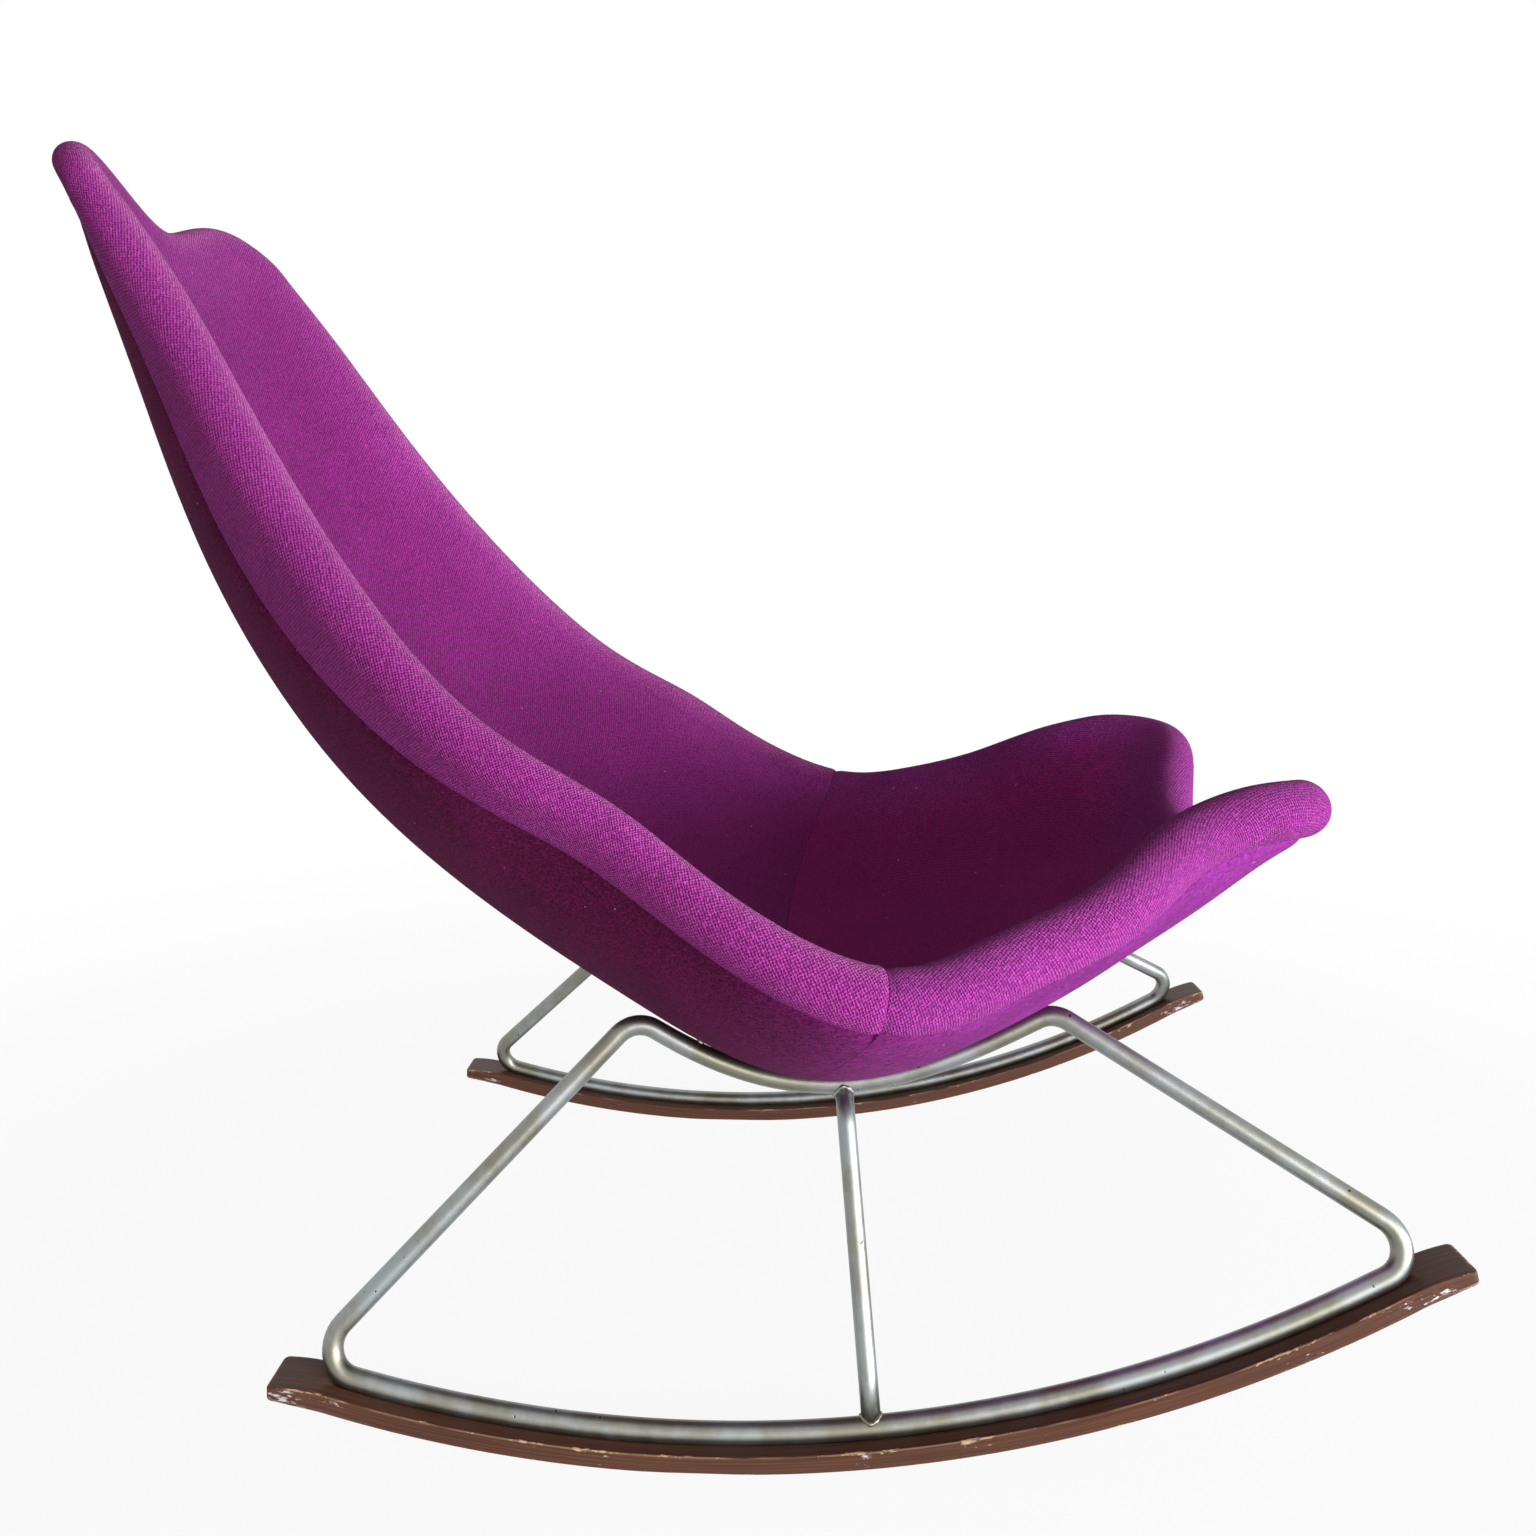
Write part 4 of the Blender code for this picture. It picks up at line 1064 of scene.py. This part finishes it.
def tube_loop(name, path, radius, sides):
    """Tube round a closed path: a circle in the plane square to the path at each of its points."""
    tangent = unit(np.roll(path, -1, axis=0) - np.roll(path, 1, axis=0))
    side = unit(np.array([1.0, 0.0, 0.0]) - tangent[:, :1] * tangent)
    other = np.cross(tangent, side)
    angle = np.arange(sides) * 2 * math.pi / sides
    ring = np.cos(angle)[:, None] * side[:, None] + np.sin(angle)[:, None] * other[:, None]
    points = path[:, None] + np.broadcast_to(radius, path.shape[:1])[:, None, None] * ring
    number = np.arange(len(path) * sides).reshape(len(path), sides)
    number = wrapped(np.concatenate([number, number[:1]]))
    return new_piece(name, points.reshape(-1, 3), quads(number))


for side_name, side_sign in SIDES:
    loop = tube_loop("side_frame_bar_" + side_name, frame_path(side_sign), BAR_RADIUS, BAR_SIDES)
    dress(loop, satin_steel, "satin_steel", "side_frame_" + side_name)

# %% [markdown]
# ## Struts
# A short bar stands between the loop's bottom and its top. Its ends are cut to sit on the round bars:
# along each line of the strut, a quadratic gives the length at which that line meets the other bar's
# surface. A thin weld bead runs round each joint, along the same curve.

# %% Struts and welds
STRUT_RADIUS = 0.0065
STRUT_FOOT_FORWARD = 0.111
STRUT_TOP_STATION = 6.34
STRUT_SIDES, STRUT_ROWS = 40, 9
TANGENT_STEP = 0.01
WELD_RADIUS, WELD_SIDES = 0.0014, 10
WELD_LUMPS, WELD_UNEVEN = 9, 0.18


def meeting(axis, rays, tangent):
    """Length along a strut at which each of its lines meets a bar: |length axis + ray| = bar radius.

    Only the parts square to the bar's tangent count, which leaves a quadratic in the length.
    """
    square_axis = axis - (axis @ tangent) * tangent
    square_rays = rays - (rays @ tangent)[:, None] * tangent
    first = square_axis @ square_axis
    middle = square_rays @ square_axis
    last = (square_rays**2).sum(axis=1) - BAR_RADIUS**2
    return (-middle + np.sqrt(middle**2 - first * last)) / first


def strut_lines(sign):
    """Foot and top curves of a strut, one point for each of its lines."""
    forward = STRUT_FOOT_FORWARD + np.array([0.0, TANGENT_STEP])
    feet = place(forward, sign * ROCKER_HALF_SPAN, bar_arc(forward))
    tops = bar_under_shell(STRUT_TOP_STATION + TANGENT_STEP * np.array([-1.0, 0.0, 1.0]), sign)
    foot, foot_tangent = feet[0], unit(feet[1] - feet[0])
    axis = unit(tops[1] - foot)
    side = unit(np.cross(axis, foot_tangent))
    angle = np.arange(STRUT_SIDES) * 2 * math.pi / STRUT_SIDES
    rays = STRUT_RADIUS * (np.cos(angle)[:, None] * side + np.sin(angle)[:, None] * np.cross(axis, side))
    low = foot + rays + meeting(axis, rays, foot_tangent)[:, None] * axis
    high = tops[1] + rays - meeting(-axis, rays, unit(tops[2] - tops[0]))[:, None] * axis
    return low, high


def capped(number):
    """Faces of a tube: the cells of its grid, closed round, and one face at each end."""
    return quads(wrapped(number)).tolist() + [number[0].tolist(), number[-1].tolist()]


def strut(name, low, high):
    """Tube between the two curves, closed by a face at each end."""
    rows = np.linspace(0.0, 1.0, STRUT_ROWS)[:, None, None]
    points = (low + (high - low) * rows).reshape(-1, 3)
    return new_piece(name, points, capped(np.arange(len(points)).reshape(STRUT_ROWS, STRUT_SIDES)))


weld_turn = np.arange(STRUT_SIDES) * 2 * math.pi / STRUT_SIDES
weld_radius = WELD_RADIUS * (1.0 + WELD_UNEVEN * np.sin(WELD_LUMPS * weld_turn))
for side_name, side_sign in SIDES:
    low_curve, high_curve = strut_lines(side_sign)
    bar = strut("strut_bar_" + side_name, low_curve, high_curve)
    dress(bar, satin_steel, "satin_steel", "strut_" + side_name)
    for end_name, curve in (("foot", low_curve), ("top", high_curve)):
        bead = tube_loop(f"weld_{end_name}_{side_name}", curve, weld_radius, WELD_SIDES)
        dress(bead, satin_steel, "satin_steel")

# %% [markdown]
# ## Rockers
# A rocker is a strip of wood bent to an arc, with ends that flick back towards level and a groove on
# top that the bar lies in and that runs out where the bar leaves it. The arc is easiest to give by its
# heading: it grows evenly with length, turns back over the flicks, and adding up its cosine and sine
# gives the path. The strip's section, with rounded edges, is then carried along that path, worn thinner
# from below and drawn in at the very tips, and planed at the floor.

# %% Rocker path and section
ROCKER_WIDTH = 0.035
ROCKER_EDGE = 0.0012
ROCKER_REAR_ARC = 0.246
ROCKER_FRONT_ARC = 0.455
FLICK_LENGTH = 0.040
FLICK_TURN = math.radians(16.0)
PATH_SAMPLES = 1201
EDGE_STEPS, GROOVE_STEPS = 5, 15
SECTION_SPACING = 0.0012
TIP_ROUND, TIP_FLATTEN = 0.0035, 0.35
TIP_SHARES = (0.0, 0.0003, 0.0008, 0.0016, 0.0026, 0.0035)
ROCKER_ROWS, ROWS_MARGIN = 150, 0.006
WEAR_REACH, WEAR_START = 0.0020, 1.25
WEAR_LENGTH, TIP_EDGE = 0.090, 0.002
GRAIN_SHIFT = 0.2
GROOVE_RADIUS = BAR_RADIUS + FIT_GAP
GROOVE_SPREAD = math.acos((BAR_RADIUS - GROOVE_DEPTH) / GROOVE_RADIUS)
GROOVE_RUN_OUT = 0.008
GROOVE_END = 0.020
TIP_LIFT = 0.0035
TIP_TAPER = 0.030


def rocker_line(share):
    """Forward, up and heading of the bottom line, and length from the rest point, at shares of its length."""
    rear = ROCKER_RADIUS * math.asin(ROCKER_REAR_ARC / ROCKER_RADIUS)
    front = ROCKER_RADIUS * math.asin(ROCKER_FRONT_ARC / ROCKER_RADIUS)
    fine = np.linspace(-rear - FLICK_LENGTH, front + FLICK_LENGTH, PATH_SAMPLES)
    on_arc = np.clip(fine, -rear, front)
    heading = on_arc / ROCKER_RADIUS - FLICK_TURN * (fine - on_arc) / FLICK_LENGTH
    middle = (heading[1:] + heading[:-1]) / 2
    step = fine[1] - fine[0]
    line = [np.insert(np.cumsum(part(middle)), 0, 0.0) * step for part in (np.cos, np.sin)]
    line = [part - np.interp(0.0, fine, part) for part in line]
    length = fine[0] + (fine[-1] - fine[0]) * share
    return [np.interp(length, fine, part)[:, None] for part in (*line, heading)], length


def fillet(across, height, first_turn):
    """Quarter circle of the edge radius, as (across, height)."""
    turn = first_turn + np.linspace(0.0, math.pi / 2, EDGE_STEPS)
    return np.stack([across + ROCKER_EDGE * np.cos(turn), height + ROCKER_EDGE * np.sin(turn)], axis=1)


def rocker_section():
    """Closed section, anticlockwise: four rounded edges, and a groove for the bar in the top."""
    half, edge, top = ROCKER_WIDTH / 2, ROCKER_EDGE, ROCKER_THICKNESS
    turn = np.linspace(GROOVE_SPREAD, -GROOVE_SPREAD, GROOVE_STEPS)
    hollow = np.stack([GROOVE_RADIUS * np.sin(turn),
                       top - GROOVE_DEPTH + BAR_RADIUS - GROOVE_RADIUS * np.cos(turn)], axis=1)
    corners = np.concatenate([
        fillet(edge - half, edge, math.pi), fillet(half - edge, edge, 1.5 * math.pi),
        fillet(half - edge, top - edge, 0.0), hollow, fillet(edge - half, top - edge, 0.5 * math.pi)])
    return evened(corners, SECTION_SPACING)


def evened(corners, spacing):
    """A closed outline with more points on its long straight stretches, all its corners kept."""
    ahead = np.roll(corners, -1, axis=0)
    counts = np.maximum(1, np.ceil(np.linalg.norm(ahead - corners, axis=1) / spacing).astype(int))
    stretches = [corner + (after - corner) * (np.arange(count) / count)[:, None]
                 for corner, after, count in zip(corners, ahead, counts)]
    return np.concatenate(stretches)


def groove_run_out(section, forward):
    """Section heights along the strip: where the bar has bent up out of it, the groove fills up."""
    half = GROOVE_RADIUS * math.sin(GROOVE_SPREAD)
    in_groove = (np.abs(section[:, 0]) <= half) & (section[:, 1] > ROCKER_THICKNESS / 2)
    past_foot = np.maximum(forward - BAR_FRONT_FOOT, -forward - BAR_REAR_FOOT) + GROOVE_END
    filled = np.clip(0.5 + past_foot / GROOVE_RUN_OUT, 0.0, 1.0) * in_groove
    return section[:, 1] + filled * (ROCKER_THICKNESS - section[:, 1])


def rocker_rows():
    """Shares of the strip's length where its section is placed, closer together at the tips."""
    near = np.array(TIP_SHARES)
    return np.concatenate([near, np.linspace(ROWS_MARGIN, 1.0 - ROWS_MARGIN, ROCKER_ROWS), 1.0 - near[::-1]])


def rocker_height(section, forward, tip, inset):
    """Heights of the section along the strip: flatter by the inset at a tip, and worn from below."""
    middle = ROCKER_THICKNESS / 2
    flatter = 1.0 - TIP_FLATTEN * inset / middle
    height = middle + (groove_run_out(section, forward) - middle) * flatter
    lift = TIP_LIFT * np.clip(1.0 - tip / TIP_TAPER, 0.0, 1.0)**2
    return lift + height * (1.0 - lift / ROCKER_THICKNESS)


def rocker_wear(section, tip):
    """For each point, from 0 to 1: nearness to an edge, being on a side wall, and nearness to a tip."""
    from_side = np.abs(np.abs(section[:, 0]) - ROCKER_WIDTH / 2)
    from_face = np.minimum(section[:, 1], ROCKER_THICKNESS - section[:, 1])
    edge = np.clip(WEAR_START - np.hypot(from_side, from_face) / WEAR_REACH, 0.0, 1.0)
    edge = np.maximum(edge, np.clip(1.0 - tip / TIP_EDGE, 0.0, 1.0))
    wall = np.abs(section[:, 0]) > ROCKER_WIDTH / 2 - ROCKER_EDGE
    return np.broadcast_arrays(edge, wall, np.clip(1.0 - tip / WEAR_LENGTH, 0.0, 1.0))


def rocker(name, sign):
    """Section carried along the bottom line, with closed ends and values for where it wears."""
    (forward, up, heading), length = rocker_line(rocker_rows())
    tip = np.minimum(length - length[0], length[-1] - length)[:, None]
    inset = TIP_ROUND - np.sqrt(TIP_ROUND**2 - np.clip(TIP_ROUND - tip, 0.0, TIP_ROUND)**2)
    section = rocker_section()
    across = section[:, 0] * (1.0 - inset / (ROCKER_WIDTH / 2))
    height = rocker_height(section, forward, tip, inset)
    points = place(forward - np.sin(heading) * height, sign * ROCKER_HALF_SPAN + across,
                   np.maximum(up + np.cos(heading) * height, FLOOR_DROP))
    edge, wall, ends = rocker_wear(section, tip)
    around = running_length(np.concatenate([section, section[:1]]), 0)[:-1]
    uv = np.stack(np.broadcast_arrays(length[:, None], around + GRAIN_SHIFT * sign), axis=-1)
    faces = capped(np.arange(edge.size).reshape(edge.shape))
    return new_piece(name, points.reshape(-1, 3), faces, uv.reshape(-1, 2), edge=edge, wall=wall, tip=ends)


for side_name, side_sign in SIDES:
    strip = rocker("rocker_strip_" + side_name, side_sign)
    dress(strip, rocker_wood, "rocker_wood", "rocker_" + side_name)

# %% [markdown]
# ## Finishes for the plain nodes that stay
# The plywood, its inserts, the bolts and the screws have the right shape already, so they keep their
# meshes and only get a finish.

# %% Plain nodes
for node_name, plain in frame["nodes"].items():
    if plain.hide_render:
        continue
    plain.data.materials.clear()
    plain.data.materials.append(plywood if "ply" in node_name else satin_steel)
print("plain nodes kept:", sum(not plain.hide_render for plain in frame["nodes"].values()))

# %% [markdown]
# ## Floor and light
# A wide pale floor takes the chair's shadow and fades to white far away, so that no horizon shows.
# One large soft lamp stands low in front of the chair, as a window would, a weaker one fills in from
# the near side, and a small one by the floor stands for the light that a floor throws back. The world
# adds an even glow, and shows white to the camera and metal.

# %% Floor
FLOOR_HALF = 30.0
FADE_START, FADE_END = 0.4, 1.8
FLOOR_GLOW = 0.92
FLOOR_TONE = (0.93, 0.93, 0.93, 1.0)
WHITE = (1.0, 1.0, 1.0, 1.0)


def shown_ray(tree):
    """1 for a ray that shows the background: from the camera, off metal, or through glass."""
    rays = node(tree, "LightPath", {}, "Is Camera Ray")
    others = [rays.node.outputs[name] for name in ("Is Glossy Ray", "Is Transmission Ray")]
    return maths(tree, "MAXIMUM", rays, maths(tree, "MAXIMUM", *others))


def floor_finish():
    """Pale matt floor near the chair, white further out."""
    made, tree, shader = new_finish("floor", Base_Color=FLOOR_TONE, Roughness=0.9)
    spot = node(tree, "VectorMath", {0: object_place(tree)}, "Value", operation="LENGTH")
    glow = node(tree, "Emission", {"Color": WHITE, "Strength": 1.0})
    white = tally(tree, FLOOR_GLOW, (between(tree, spot, FADE_START, FADE_END), 1.0 - FLOOR_GLOW))
    seen = scaled(tree, white, shown_ray(tree))
    both = node(tree, "MixShader", {0: seen, 1: shader.outputs[0], 2: glow})
    tree.links.new(both, tree.nodes["Material Output"].inputs["Surface"])
    return made


corners = FLOOR_HALF * np.array([(-1, -1, 0), (1, -1, 0), (1, 1, 0), (-1, 1, 0)], float)
floor = new_piece("floor", corners, [(0, 1, 2, 3)])
floor.data.materials.append(floor_finish())
floor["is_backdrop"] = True
print("floor:", 2 * FLOOR_HALF, "m wide")

# %% World and lamps
WORLD_TONE = (1.0, 0.85, 0.88, 1.0)
WORLD_LEVEL = 0.17
# Each lamp: name, place, aim, width and height in metres, power in watts, and colour.
LAMPS = (
    ("window", (-2.2, -3.4, 0.52), (0.0, 0.0, 0.42), (3.1, 1.1), 168.0, (0.88, 0.94, 1.0)),
    ("fill", (-2.3, -1.2, 0.6), (0.0, 0.1, 0.5), (1.8, 1.2), 36.0, (1.0, 0.93, 0.86)),
    ("bounce", (-0.7, -1.7, 0.1), (-0.1, -0.3, 0.33), (1.2, 0.3), 7.0, (0.82, 0.86, 1.0)),
)

world = bpy.data.worlds.new("studio")
world.use_nodes = True
bpy.context.scene.world = world
sky = world.node_tree
shown = shown_ray(sky)
tone = mixed(sky, shown, WORLD_TONE, WHITE)
level = tally(sky, WORLD_LEVEL, (shown, 1.0 - WORLD_LEVEL))
background = sky.nodes["Background"]
sky.links.new(tone, background.inputs["Color"])
sky.links.new(level, background.inputs["Strength"])


def lamp(name, spot, aim, sizes, power, colour):
    """Area lamp of a width and a height at a spot, turned to an aim."""
    light = bpy.data.lights.new(name, "AREA")
    light.shape = "RECTANGLE"
    light.size, light.size_y = sizes
    light.energy = power
    light.color = colour
    made = bpy.data.objects.new(name, light)
    made.location = spot
    direction = np.array(aim) - np.array(spot)
    yaw = math.atan2(direction[1], direction[0]) - math.pi / 2
    pitch = math.atan2(direction[2], math.hypot(direction[0], direction[1])) + math.pi / 2
    made.rotation_euler = (pitch, 0.0, yaw)
    bpy.context.scene.collection.objects.link(made)


for lamp_values in LAMPS:
    lamp(*lamp_values)
print("lamps:", [lamp_values[0] for lamp_values in LAMPS])

# %% [markdown]
# ## Size
# The looks must not change the chair's size, so the box of the plain solids, taken on loading, and
# the box of the dressed chair are measured, and how much it grew is printed.

# %% Finish
dressed_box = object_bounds()
growth = (dressed_box[1] - dressed_box[0]) - (cad_box[1] - cad_box[0])
print("box grew by", [round(float(side), 4) for side in growth])
